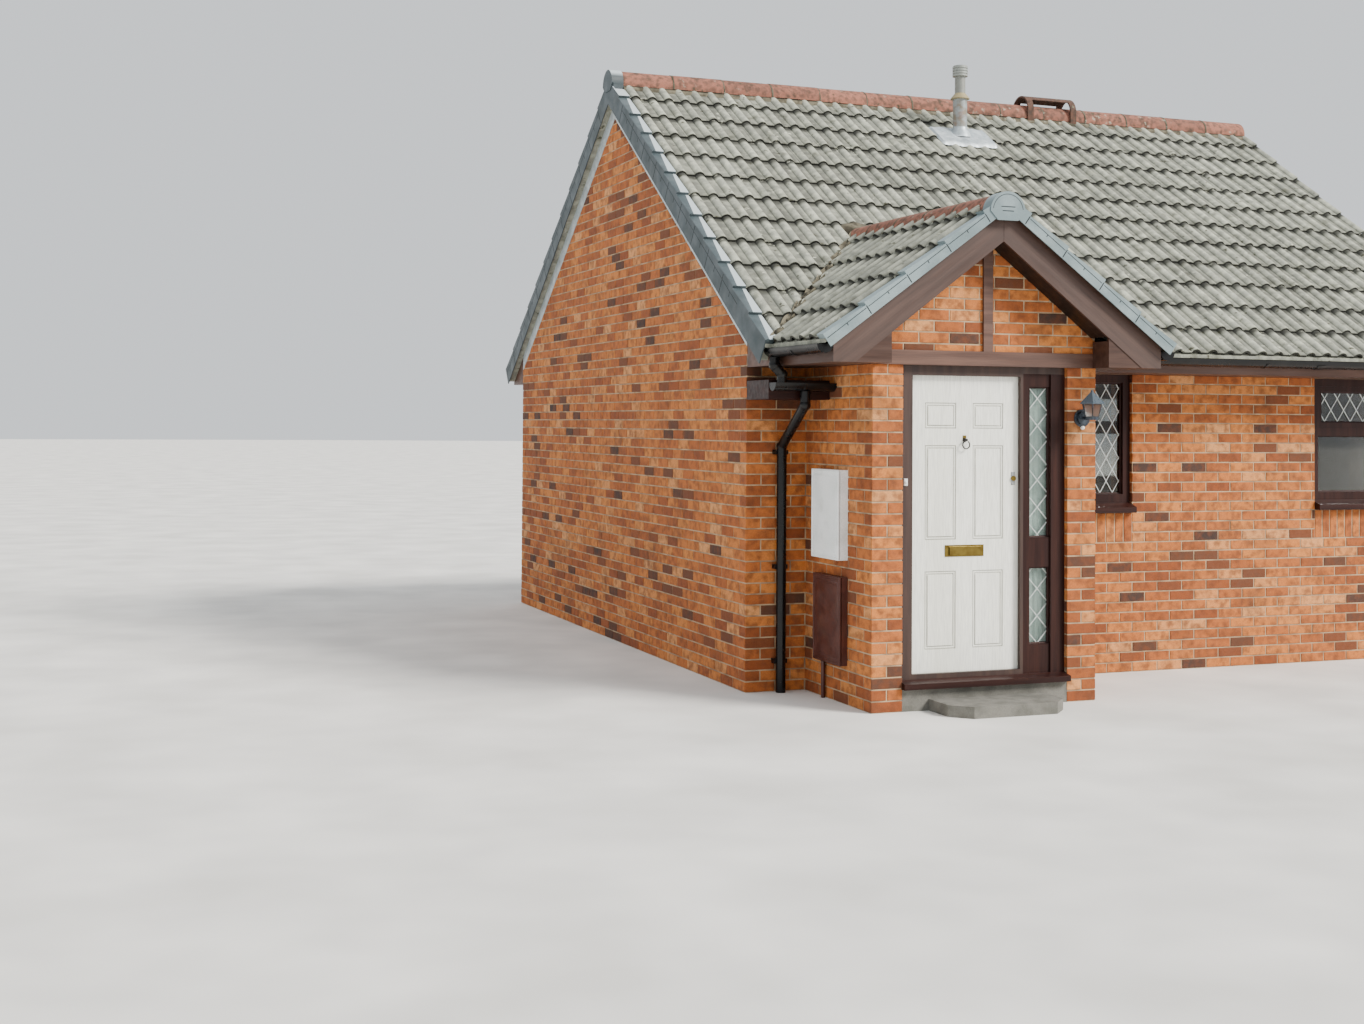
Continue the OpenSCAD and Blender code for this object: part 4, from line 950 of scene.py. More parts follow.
        side = {"length": Y0 - PY, "half": 1, "first": False}
        jamb = {"length": self.return_depth, "foot": self.plinth, "first": False, "proud": 0.003}
        porch = self.walls(
            Shell(), Wall(vec(PX0, PY, 0), EAST, PI0 - PX0, corners=(5, 6)),
            Wall(vec(PI1, PY, 0), EAST, PX1 - PI1, corners=(7, 8)),
            Wall(vec(PX0, Y0, 0), SOUTH, from_end=True, corners=(0, 5), **side),
            Wall(vec(PX1, PY, 0), NORTH, corners=(8, 0), **side),
            Wall(vec(PI0, PY, 0), NORTH, corners=(6, 0), **jamb),
            Wall(vec(PI1, PY + self.return_depth, 0), SOUTH, corners=(0, 7), **jamb))
        porch.piece("porch_bricks", BRICK, "brick")
        beam_top = SOFFIT + 0.095
        gable = Wall(vec(PX0, PY, 0), EAST, PX1 - PX0, 3.2, foot=beam_top - 0.030,
                     gable=(PM - PX0, *self.gable))
        self.walls(Shell(), gable).piece("gable_bricks", BRICK, "brick")
        dress(MORTAR, "front_wall_left", "front_wall_head", "front_wall_right", "rear_wall",
              "left_party_wall", "right_party_wall", "porch_left_wall", "porch_right_wall",
              "porch_gable_wall")
        LOG.info("bricks laid: %d", self.laid)


@dataclass
class Slope:
    """One tiled slope: the corner of its eaves, the way along them and the way up."""

    corner: np.ndarray
    along: np.ndarray
    rise: np.ndarray
    columns: int
    length: float


@dataclass
class Roof:
    """Double-roman tiles 300 mm wide with two rolls each, in courses that lap the one below.

    A tile is butt high behind its nose and head high at its top, and tucks under the next course.
    Its painted shadow and grime start shade_and_dirt_band below that, and its butt's face is
    painted dark as its shadow. Uneven is how far tiles slip, lift and shift, gap how far they
    stop from a valley's line.
    """

    width: float = 0.300
    roll: float = 0.028
    butt: float = 0.020
    head: float = 0.002
    nose: float = 0.006
    lap: float = 0.070
    shade_and_dirt_band: float = 0.033
    tuck: float = 0.004
    uneven: tuple[float, float, float] = (0.0025, 0.0012, 0.001)
    cut_rows: int = 14
    gap: float = 0.012
    end: float = ROOF_END - 0.003
    rng: np.random.Generator = field(default_factory=lambda: np.random.default_rng(11))

    def section(self) -> np.ndarray:
        """Returns the tile across: place, height, grime and painted shade. Rolls: h = roll cos(pi d
        / 84 mm).
        """
        d = vec(-42, -35, -20, 0, 20, 35, 42) / 1000
        h = self.roll * np.clip(np.cos(math.pi * d / 0.084), 0, 1) ** 0.7
        # Darker in the pans, at the side laps and at each roll's foot, most on its right side:
        # grime in the hollows and painted shade of the rolls
        dirt_and_shade = vec(0.55, 0.05, 0, 0, 0.12, 0.5, 0.85)
        edge = ([0], [0], [0.4])
        ends = ([self.width], [0], [0.4])
        twice = ((0.06 + d, 0.21 + d), (h, h), (dirt_and_shade, dirt_and_shade))
        return np.stack([np.concatenate([a, *b, c]) for a, b, c in zip(edge, twice, ends)], axis=1)

    def tiles(self, slope: Slope, cuts: bool) -> tuple[np.ndarray, ...]:
        """Works out the tiles of a slope: corner + u along + s rise + h normal.

        Args:
            slope: The slope.
            cuts: True for the tiles that a valley cuts, in finer rows; False for all others.

        Returns:
            Points, faces, tones, and grime with painted shade.
        """
        section = self.section()
        rows = math.ceil(slope.length / GAUGE - 0.01)
        i, j = (a.ravel() for a in np.meshgrid(np.arange(rows), np.arange(slope.columns),
                                               indexing="ij"))
        near = self.near_valley(slope, i, j)
        i, j = i[near == cuts], j[near == cuts]
        n = len(i)
        slip, lift, shift = (self.rng.normal(0, size, n) for size in self.uneven)
        u = j[:, None, None] * self.width + section[None, None, :, 0] + shift[:, None, None]
        inner = np.linspace(self.nose, GAUGE - self.lap, self.cut_rows)[1:-1] if cuts else vec()
        steps = np.concatenate([[self.nose / 2, 0, self.nose], inner,
                                [GAUGE - self.lap, GAUGE - self.shade_and_dirt_band, GAUGE + self.tuck]])
        s = (i * GAUGE + slip)[:, None] + steps
        s = np.clip(s, 0, slope.length)[:, :, None]
        fall = self.butt + (self.head - self.butt) * steps[2:] / steps[-1]
        base = np.concatenate([[-0.001, self.butt - 0.005], fall])
        raised = np.concatenate([[0, 1, 1], 1 - steps[3:] / steps[-1]])
        h = (section[None, None, :, 1] + base[None, :, None]
             + lift[:, None, None] * raised[None, :, None])
        normal = np.cross(slope.along, slope.rise)
        u, s, h = (a[..., None] for a in np.broadcast_arrays(u, s, h))
        points = slope.corner + u * slope.along + s * slope.rise + h * normal
        r, m = len(steps), len(section)
        faces = (np.arange(n)[:, None, None] * r * m + quads(r, m)[None]).reshape(-1, 4)
        tone = np.repeat(np.clip(self.rng.normal(0.5, 0.25, n), 0, 1), r * m)
        # Each tile's own share of the channels' grime and painted shade, at random
        grime_and_shade_share = self.rng.uniform(0.6, 1.0, n)[:, None, None]
        dirt_and_shade = section[None, None, :, 2] * grime_and_shade_share + np.zeros((n, r, m))
        # The butt's face and a band under the next course's butt are dark: painted shadow, with
        # grime
        dirt_and_shade[:, :2] = 1.0
        dirt_and_shade[:, -2] = np.maximum(dirt_and_shade[:, -2], 0.9)
        dirt_and_shade[:, -1] = 1.0
        return points.reshape(-1, 3), faces, tone, dirt_and_shade.ravel()

    def near_valley(self, slope: Slope, i: np.ndarray, j: np.ndarray) -> np.ndarray:
        """Returns which tiles a valley cuts: some of their corners lie beyond it, not all."""
        s = np.minimum((i[:, None] + vec(0, 0, 1, 1)) * GAUGE, slope.length)
        u = (j[:, None] + vec(0, 1, 0, 1)) * self.width
        spot = slope.corner + u[..., None] * slope.along + s[..., None] * slope.rise
        x, y = spot[..., 0], spot[..., 1]
        far = (y - EAVES_Y) * VALLEY
        if slope.rise[1]:
            beyond = (x > EAVES_XL + far) & (x < EAVES_XR - far) & (slope.rise[1] > 0)
        else:
            beyond = far > np.where(slope.rise[0] > 0, x - EAVES_XL, EAVES_XR - x)
        return beyond.any(axis=1) & ~beyond.all(axis=1)

    @staticmethod
    def trim(points: np.ndarray, faces: np.ndarray, inside: np.ndarray, axis: int,
             line: np.ndarray) -> tuple[np.ndarray, np.ndarray]:
        """Cuts tiles along a line: faces wholly inside go, other inside points move to the line.

        Args:
            points: Points of the tiles.
            faces: Their faces.
            inside: Which points are past the line.
            axis: The axis that points move along.
            line: Where the line is, for each point.

        Returns:
            Points and faces.
        """
        moved = points.copy()
        moved[:, axis] = np.where(inside, line, points[:, axis])
        return moved, faces[~inside[faces].all(axis=1)]

    def lay(self, shell: Shell, slope: Slope, cuts: bool) -> None:
        """Adds the whole tiles of a slope, or those that a valley cuts."""
        points, faces, tone, dirt_and_shade = self.tiles(slope, cuts)
        x, y = points[:, 0], points[:, 1]
        if slope.rise[0]:
            reach = (x - EAVES_XL if slope.rise[0] > 0 else EAVES_XR - x) / VALLEY
            line = EAVES_Y + reach - self.gap
            points, faces = self.trim(points, faces, y > line, 1, line)
        else:
            points, faces = self.trim(points, faces, x > self.end, 0, self.end)
            if slope.rise[1] > 0:
                far = (y - EAVES_Y) * VALLEY - self.gap
                left, right = EAVES_XL + far, EAVES_XR - far
                x = points[:, 0]
                line = np.where(x < PM, left, right)
                points, faces = self.trim(points, faces, (x > left) & (x < right), 0, line)
        used, numbers = np.unique(faces, return_inverse=True)
        if len(used):
            shell.put(points[used], numbers.reshape(-1, 4), tone[used], dirt_and_shade[used])

    def valley(self, shell: Shell, side: int) -> None:
        """Adds a mortared valley: wings on both slopes along its line, and clumps of moss.

        Args:
            shell: Where it goes.
            side: -1 for the left valley, 1 for the right one.
        """
        foot = vec(EAVES_XL if side < 0 else EAVES_XR, EAVES_Y, EAVES_Z)
        line = vec(PM, EAVES_Y + (PM - EAVES_XL) / VALLEY, PORCH_CREST) - foot
        length = np.linalg.norm(line)
        run = line / length
        main, porch = MAIN_NORMAL, vec(side * PORCH_SIN, 0, PORCH_COS)
        wing_a, wing_b = np.cross(run, main), np.cross(run, porch)
        wing_a *= np.sign(wing_a[0] * side)
        wing_b *= np.sign(-wing_b[1])
        t = np.linspace(0.0, length - 0.04, 60)[:, None]
        line = foot + t * run
        wide = 0.044 + 0.008 * np.sin(t * 23)
        high = 0.033 + self.rng.normal(0, 0.003, (60, 1))
        ways = [line + wing_a * wide + main * 0.001, line + wing_a * wide * 0.9 + main * high,
                line + wing_a * 0.010 + main * (high - 0.004),
                line + wing_b * 0.010 + porch * (high - 0.004),
                line + wing_b * wide * 0.9 + porch * high,
                line + wing_b * wide + porch * 0.001]
        points = np.stack(ways, axis=1)
        # Darker at the outer edges, where it meets the tiles, and along its middle
        dirt_and_shade = vec(0.8, 0.1, 0.5, 0.5, 0.1, 0.8)
        shell.grid(points[:, ::-side], 0.5, dirt_and_shade=dirt_and_shade)
        for at in self.rng.uniform(0.06, 0.75, 16) ** 1.6:
            size = self.rng.uniform(0.018, 0.040)
            spot = foot + at * 2.2 * run + main * 0.026
            clump(shell, spot, run, (size, size * 1.3, size * 0.8), self.rng, 1.0)

    def build(self) -> None:
        """Tiles all four slopes and fills both valleys."""
        edge, front = VERGE_X + VERGE_COVER, VERGE_Y + VERGE_COVER
        slopes = {
            "front_tiles": Slope(vec(edge, EAVES_Y, EAVES_Z), EAST, MAIN_RISE, 22, MAIN_LENGTH),
            "rear_tiles": Slope(vec(edge + 6.6, -EAVES_Y, EAVES_Z), WEST,
                                vec(0, -MAIN_COS, MAIN_SIN), 22, MAIN_LENGTH),
            "porch_left_tiles": Slope(vec(EAVES_XL, front + 2.4, EAVES_Z), SOUTH,
                                      vec(PORCH_COS, 0, PORCH_SIN), 8, PORCH_LENGTH),
            "porch_right_tiles": Slope(vec(EAVES_XR, front, EAVES_Z), NORTH,
                                       vec(-PORCH_COS, 0, PORCH_SIN), 8, PORCH_LENGTH)}
        for name, slope in slopes.items():
            shell = Shell()
            for cuts in (False, True):
                self.lay(shell, slope, cuts)
            shell.piece(name, TILE, "tiles", smooth=50)
        dress(TILE, "main_roof_front", "main_roof_rear", "porch_roof_left", "porch_roof_right")
        shell = Shell()
        for side in (-1, 1):
            self.valley(shell, side)
        shell.piece("valley_mortar", BEDDING, "tiles", smooth=60)


@dataclass
class Ridges:
    """Half-round clay ridge tiles on mortar, 250 mm across and about 450 mm long.

    The porch's ridge is porch_run long, and a lump of mortar sits on its inner end. A row of the
    bedding is how far out it lies and how far it rises from the slope.
    """

    radius: float = 0.125
    length: float = 0.45
    inset: float = 0.09
    porch_run: float = 2.12
    porch_end: float = -2.075
    lump: tuple[float, float, float] = (0.17, 0.10, 0.058)
    bed_rows: tuple[tuple[float, float], ...] = ((0.118, 0.020), (0.140, 0.034), (0.160, 0.004))
    rng: np.random.Generator = field(default_factory=lambda: np.random.default_rng(5))

    @staticmethod
    def barrel(start: np.ndarray, run: np.ndarray, at: np.ndarray, radius: np.ndarray
               ) -> np.ndarray:
        """Returns rings start + run at + radius (cos a side + sin a up), a from 188 to -8."""
        angle = np.radians(np.linspace(188, -8, 17))
        ring = np.cos(angle)[:, None] * np.cross(run, UP) + np.sin(angle)[:, None] * UP
        return start + at[:, None, None] * run + radius[:, None, None] * ring

    def ridge(self, clay: Shell, mortar: Shell, start: np.ndarray, run: np.ndarray, total: float,
              pitch: float, bed: float) -> None:
        """Lays one ridge.

        Args:
            clay: Shell of the ridge tiles.
            mortar: Shell of the joints and the bedding.
            start: Middle of the first ridge tile's end.
            run: Direction of the ridge; the one that runs back dies into the main slope.
            total: Its length.
            pitch: Pitch of the slopes below.
            bed: Height of the crest of the slopes over the tiles' middle.
        """
        side, stop = np.cross(run, UP), bool(run[1])
        count = round(total / self.length)
        step = total / count
        for i in range(count):
            off = start + UP * self.rng.normal(0, 0.0015) + side * self.rng.normal(0, 0.002)
            at = vec(0.004, 0.004, step - 0.004, step - 0.004) + i * step
            rings = self.barrel(off, run, at, self.radius + vec(-0.014, 0, 0, -0.014))
            clay.grid(self.cut(rings, stop), self.rng.uniform(0.1, 0.9))
            if i:
                at = vec(-0.011, -0.008, 0.008, 0.011) + i * step
                rings = self.barrel(start, run, at,
                                    self.radius + vec(-0.003, 0.0016, 0.0016, -0.003))
                mortar.grid(self.cut(rings, stop), dirt_and_shade=0.55)
        t = np.linspace(0, total, 90)[:, None]
        # Darker at the bedding's inner and outer rows
        dirt_and_shade = vec(0.9, 0.2, 0.7)
        for way in (-1, 1):
            rough = self.rng.normal(0, 0.0025, (3, 90))
            lines = []
            for k, (off, lift) in enumerate(self.bed_rows):
                high = bed - (off + 0.002) * math.tan(pitch) + lift + rough[k] if k else -0.02
                high = np.broadcast_to(high, 90)[:, None]
                lines.append(start + t * run + way * off * side + high * UP)
            points = np.stack(lines, axis=1)[:, ::way]
            mortar.grid(self.cut(points, stop), dirt_and_shade=dirt_and_shade[::way])

    @staticmethod
    def cut(points: np.ndarray, stop: bool) -> np.ndarray:
        """Holds the points of the porch's ridge in front of the main slope's surface."""
        if stop:
            limit = EAVES_Y + (points[..., 2] - EAVES_Z) / MAIN_TAN
            points[..., 1] = np.minimum(points[..., 1], limit)
        return points

    def build(self) -> None:
        """Lays both ridges in place of the plain CAD ones, and dresses the vent."""
        clay, mortar = Shell(), Shell()
        self.ridge(clay, mortar, vec(VERGE_X + self.inset, 0, MAIN_RIDGE_Z), EAST,
                   ROOF_END - VERGE_X - self.inset, MAIN_PITCH, MAIN_CREST - MAIN_RIDGE_Z)
        self.ridge(clay, mortar, vec(PM, VERGE_Y + self.inset, PORCH_RIDGE_Z), NORTH,
                   self.porch_run, PORCH_PITCH, PORCH_CREST - PORCH_RIDGE_Z)
        spot = vec(PM, self.porch_end, EAVES_Z + (self.porch_end - EAVES_Y) * MAIN_TAN)
        clump(mortar, spot, MAIN_RISE, self.lump, self.rng, 0.8)
        ridge = clay.piece("clay_ridge_tiles", TERRACOTTA, "ridge", smooth=40)
        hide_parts("ridge_tiles")
        mortar.piece("ridge_mortar", BEDDING, "ridge", smooth=60)
        dress(VENT_CLAY, "ridge_vent")


@dataclass
class Verges:
    """Dry verge units down the roof edges: joints, grooves, flanks, and the apex cap's louvres.

    A face or the cap is the plane that its lines lie on, and a drop is how far the units hang
    below the tiled surface.
    """

    face_x: float = VERGE_X - 0.008
    face_y: float = VERGE_Y - 0.008
    cap_y: float = VERGE_Y - 0.0142
    main_drop: float = 0.15
    porch_drop: float = 0.055

    def strokes(self, shell: Shell, foot: np.ndarray, rise: np.ndarray, out: np.ndarray,
                length: float, drop: float, groove: float) -> None:
        """Adds the joint at each unit's end and middle, and the groove along the units.

        Args:
            shell: Where they go.
            foot: Foot of the slope on the units' outer face.
            rise: Direction up the slope.
            out: Direction out of the face.
            length: Length of the slope that the units cover.
            drop: Depth of the face under the tiled surface.
            groove: How far under the surface the groove runs.
        """
        normal = np.cross(out, rise)
        normal *= np.sign(normal[2])
        s = np.arange(1, int(length / GAUGE) + 1) * GAUGE
        top = foot + s[:, None] * rise + normal * 0.008
        bars(shell, top, top - normal * (drop + 0.006), out, 0.008, 0.0012)
        middle = foot + (s - GAUGE / 2)[:, None] * rise - normal * groove
        bars(shell, middle, middle - normal * (drop - groove) * 0.35, out, 0.006, 0.0012)
        start = foot + (s - GAUGE + 0.01)[:, None] * rise - normal * groove
        bars(shell, start, start + rise * (GAUGE - 0.02), out, 0.005, 0.0010)

    def flanks(self, shell: Shell, way: int, count: int = 11) -> None:
        """Adds the rounded flank on top of each left unit, 30 mm wide at its foot, 74 at its head.

        Args:
            shell: Where they go.
            way: 1 for the front slope, -1 for the rear one.
            count: Number of units.
        """
        foot = vec(self.face_x, way * EAVES_Y, EAVES_Z)
        rise, normal = vec(0, way * MAIN_COS, MAIN_SIN), vec(0, -way * MAIN_SIN, MAIN_COS)
        t = vec(0.003, 0.003, 0.35, 0.7, 0.992)[None, :, None]
        k = np.arange(count)[:, None, None]
        u = vec(-0.0012, -0.0012, 0.3, 0.7, 1.0)[None, None, :]
        high = 0.034 + (0.012 - 0.034) * t + vec(-0.006, 0.0004, 0.0032, 0.003, 0.0006)
        wide = 0.030 + 0.044 * t
        points = (foot + ((k + t) * GAUGE)[..., None] * rise + (u * wide)[..., None] * EAST
                  + high[..., None] * normal)
        points[:, 0, :] -= 0.020 * normal
        for rows in points:
            shell.grid(rows[:, ::way])

    def build(self) -> None:
        """Adds the lines to both verges and dresses their units."""
        dress(SLATE_GREY, "left_verge")
        dress(PALE_GREY, "porch_verge")
        flank = Shell()
        for way in (1, -1):
            self.flanks(flank, way)
        flank.piece("verge_flanks", SLATE_FLANK, "dark_verge", smooth=50)
        lines = Shell()
        main_l, porch_l = MAIN_LENGTH - 0.17, PORCH_LENGTH - 0.17
        foot = vec(self.face_x, -EAVES_Y, EAVES_Z)
        self.strokes(lines, foot, vec(0, -MAIN_COS, MAIN_SIN), WEST, main_l, self.main_drop, 0.035)
        foot = vec(self.face_x, Y0, EAVES_Z + (Y0 - EAVES_Y) * MAIN_TAN)
        self.strokes(lines, foot, MAIN_RISE, WEST, main_l - 0.56, self.main_drop, 0.035)
        for x, way in ((EAVES_XL, 1), (EAVES_XR, -1)):
            self.strokes(lines, vec(x, self.face_y, EAVES_Z), vec(way * PORCH_COS, 0, PORCH_SIN),
                         SOUTH, porch_l, self.porch_drop, 0.004)
        for half, z in ((0.052, PORCH_RIDGE_Z + 0.03), (0.042, PORCH_RIDGE_Z + 0.003)):
            ends = (vec(PM + way * half, self.cap_y, z)[None] for way in (-1, 1))
            bars(lines, *ends, SOUTH, 0.006, 0.001)
        angle = np.radians(np.linspace(172, 8, 19))
        arc = np.stack([np.cos(angle), 0 * angle, np.sin(angle)], axis=1)
        arc = vec(PM, self.cap_y, PORCH_RIDGE_Z) + 0.112 * arc
        bars(lines, arc[:-1], arc[1:], SOUTH, 0.004, 0.001)
        lines.piece("verge_joints", JOINT, "dark_verge")


@dataclass
class Windows:
    """Timber windows with glazing beads, leaded lights, and nets behind the glass.

    A pane is its left, right, foot and head, and the size of its diamonds where it is leaded.
    """

    panes: tuple[tuple, ...] = (
        (-0.751, -0.170, 1.337, 2.177, (0.110, 0.175)), (1.6695, 2.8855, 1.337, 1.785, None),
        (1.7115, 2.8435, 1.889, 2.135, (0.128, 0.182)))
    sidelight: tuple[tuple[float, float], ...] = ((0.389, 0.904), (1.100, 2.110))
    sidelight_x: tuple[float, float] = (-1.6235, -1.4585)
    glass_in: float = 0.065
    came: float = 0.007

    def lattice(self, shell: Shell, x: tuple[float, float], z: tuple[float, float], y: float,
                out: np.ndarray, size: tuple[float, float], middle: tuple[float, float]) -> None:
        """Adds diamond leading: lines (x - xm) / w +- (z - zm) / h = k, cut to the pane.

        Args:
            shell: Where it goes.
            x: Left and right edge of the pane.
            z: Foot and head of the pane.
            y: Plane of the glass's face.
            out: Direction out of the glass.
            size: Width and height of a diamond.
            middle: A crossing of two cames.
        """
        w, h = size
        k = np.arange(-60, 61, dtype=float)
        for sign in (-1.0, 1.0):
            a, b = (np.stack([np.full_like(k, edge),
                              middle[1] + sign * h * (k - (edge - middle[0]) / w)], axis=1)
                    for edge in x)
            run = b - a
            t = np.sort(np.stack([(edge - a[:, 1]) / run[:, 1] for edge in z]), axis=0)
            t0, t1 = np.clip(t[0], 0, 1), np.clip(t[1], 0, 1)
            keep = t1 - t0 > 0.01
            a, run, t0, t1 = a[keep], run[keep], t0[keep, None], t1[keep, None]
            start, end = (np.stack([p[:, 0], np.full(len(p), y), p[:, 1]], axis=1)
                          for p in (a + run * t0, a + run * t1))
            bars(shell, start, end, out, self.came, 0.002)

    def build(self) -> None:
        """Adds beads, leading and nets, and dresses frames, sills and glass."""
        beads, lead = Shell(), Shell()
        section = pairs(0, 0.012, 0.004, 0.0115, 0.009, 0.008, 0.012, 0.0)
        for y, out in ((Y0, SOUTH), (Y1, NORTH)):
            face = y - out[1] * self.glass_in
            for a, b, low, high, diamond in self.panes:
                start, way = (a, EAST) if y < 0 else (b, WEST)
                mould(beads, vec(start, face, low), way, (b - a, high - low), section)
                if diamond:
                    self.lattice(lead, (a, b), (low, high), face, out, diamond,
                                 ((a + b) / 2, low + 0.01))
        a, b = self.sidelight_x
        for low, high in self.sidelight:
            mould(beads, vec(a, LEAF_Y, low), EAST, (b - a, high - low), section)
            self.lattice(lead, (a, b), (low, high), LEAF_Y, SOUTH, (b - a, 0.182),
                         ((a + b) / 2, 2.030))
        beads.piece("glazing_beads", MAHOGANY, "dark_wood", smooth=40)
        lead.piece("window_leading", CAME, "lead")
        self.net("sidelight_net", (-1.656, -1.424), (0.305, 2.165), -3.898, "sidelight_frame")
        self.net("window_curtain", (-0.800, -0.440), (1.300, 2.200), -2.820, "front_wall_right")
        dress(MAHOGANY, "window_frames")
        dress(MAHOGANY_ACROSS, "window_sills")
        dress(GLASS, "window_glass")

    @staticmethod
    def net(name: str, x: tuple[float, float], z: tuple[float, float], back: float, rest: str
            ) -> None:
        """Hangs a net: y = back + 3 to 5 mm sin(2 pi x / 45 mm), deeper towards the hem.

        Args:
            name: Name of the piece.
            x: Its left and right edge.
            z: Its hem and its head.
            back: Plane that it hangs in.
            rest: Node that it hangs from; not used.
        """
        shell = Shell()
        u = np.linspace(0, 1, 61)[None, :]
        v = np.linspace(0, 1, 40)[:, None]
        across = x[0] + (x[1] - x[0]) * u + 0 * v
        wave = np.sin(2 * math.pi * across / 0.045)
        y = back + (0.003 + 0.002 * v) * wave + 0.002 * np.sin(9 * across + 5 * v)
        high = z[1] - (z[1] - z[0]) * v + 0.003 * wave * v
        points = np.stack([across, y, high], axis=-1)
        shell.grid(points)
        net = shell.piece(name, NET, "glass", smooth=180)
        net.modifiers.new("thickness", "SOLIDIFY").thickness = 0.0008


@dataclass
class Doorway:
    """The front door's mouldings and fittings, and the stained timber round it.

    Corner is the leaf's lower left one. A row of panels is its foot, over the leaf's, and its
    height; panel is how wide they are and sunk how deep they lie.
    """

    corner: np.ndarray = field(default_factory=lambda: vec(-2.5175, LEAF_Y, 0.206))
    thick: float = 0.044
    stile: float = 0.125
    panel: float = 0.2315
    sunk: float = 0.008
    rows: tuple[tuple[float, float], ...] = ((0.175, 0.510), (0.890, 0.620), (1.620, 0.170))

    def panels(self) -> None:
        """Adds a bead round each of the six panels, on both faces of the leaf."""
        shell = Shell()
        section = pairs(0.0005, 0, 0.004, 0.0005, 0.008, 0.0062, 0.014, 0.0058, 0.018, 0.0005,
                        0.0215, 0)
        # Darker where the bead meets the stile and the panel: painted shade in the creases, with
        # grime
        dirt_and_shade = vec(0.9, 1.0, 0, 0, 1.0, 0.9)
        x0, y0, z0 = self.corner
        for low, high in self.rows:
            for col in (0, 1):
                x = x0 + self.stile + col * (self.panel + self.stile)
                z, size = z0 + low, (self.panel, high)
                mould(shell, vec(x, y0 + self.sunk, z), EAST, size, section, dirt_and_shade)
                back = vec(x + self.panel, y0 + self.thick - self.sunk, z)
                mould(shell, back, WEST, size, section, dirt_and_shade)
        shell.piece("door_panel_beads", WHITE_PAINT, "white_paint", Body.DOOR, smooth=40)

    def fittings(self) -> None:
        """Adds the lock plate, the hook's ring and the bell push."""
        lock = Shell()
        mould(lock, vec(-1.743, LEAF_Y, 1.453), EAST, (0.027, 0.086),
              pairs(0, 0, 0, 0.003, 0.003, 0.005, 0.013, 0.0055))
        lock.piece("lock_plate", STEEL, "brass", Body.DOOR, smooth=30)
        hook = Shell()
        spot = vec(-2.0985, LEAF_Y - 0.004, 1.751)
        turned(hook, spot, SOUTH, pairs(0.015, 0, 0.014, 0.005, 0.008, 0.012, 0.006, 0.022, 0.009,
                                        0.027, 0, 0.030), 16)
        angle = np.radians(np.linspace(60, -240, 19))
        ring = 0.026 * np.stack([np.cos(angle), 0 * angle, np.sin(angle)], axis=1)
        ring += spot + vec(0, -0.018, -0.032)
        bars(hook, ring[:-1], ring[1:], SOUTH, 0.008, 0.006)
        hook.piece("door_hook_ring", IRON, "brass", Body.DOOR, smooth=40)
        bell = Shell()
        mould(bell, vec(-2.5700, PY + 0.035, 1.452), EAST, (0.028, 0.048),
              pairs(0, 0, 0.001, 0.008, 0.005, 0.011, 0.0139, 0.012))
        turned(bell, vec(-2.556, PY + 0.024, 1.476), SOUTH,
               pairs(0.009, 0, 0.0085, 0.004, 0.005, 0.006, 0, 0.0065), 16)
        bell.piece("bell_push", LENS, "white_grp", smooth=30)

    def build(self) -> None:
        """Adds the panel beads and the fittings, and dresses door, timber, step and inside."""
        self.panels()
        self.fittings()
        dress(WHITE_PAINT, "front_door")
        dress(BRASS, "door_furniture", "letter_flap")
        dress(STAIN_UPRIGHT, "door_frame", "door_stops")
        dress(MAHOGANY, "sidelight_frame")
        dress(MAHOGANY_ACROSS, "door_sill", "low_eaves_box")
        dress(STAIN_RAKED, "barge_boards")
        dress(STAIN_SHADED, "porch_soffits")
        dress(STAIN_ACROSS, "gable_frame", "main_eaves")
        dress(STAIN_BACK, "porch_eaves")
        dress(CONCRETE, "door_step", "floor_slab")
        dress(PLASTER, "ceiling")


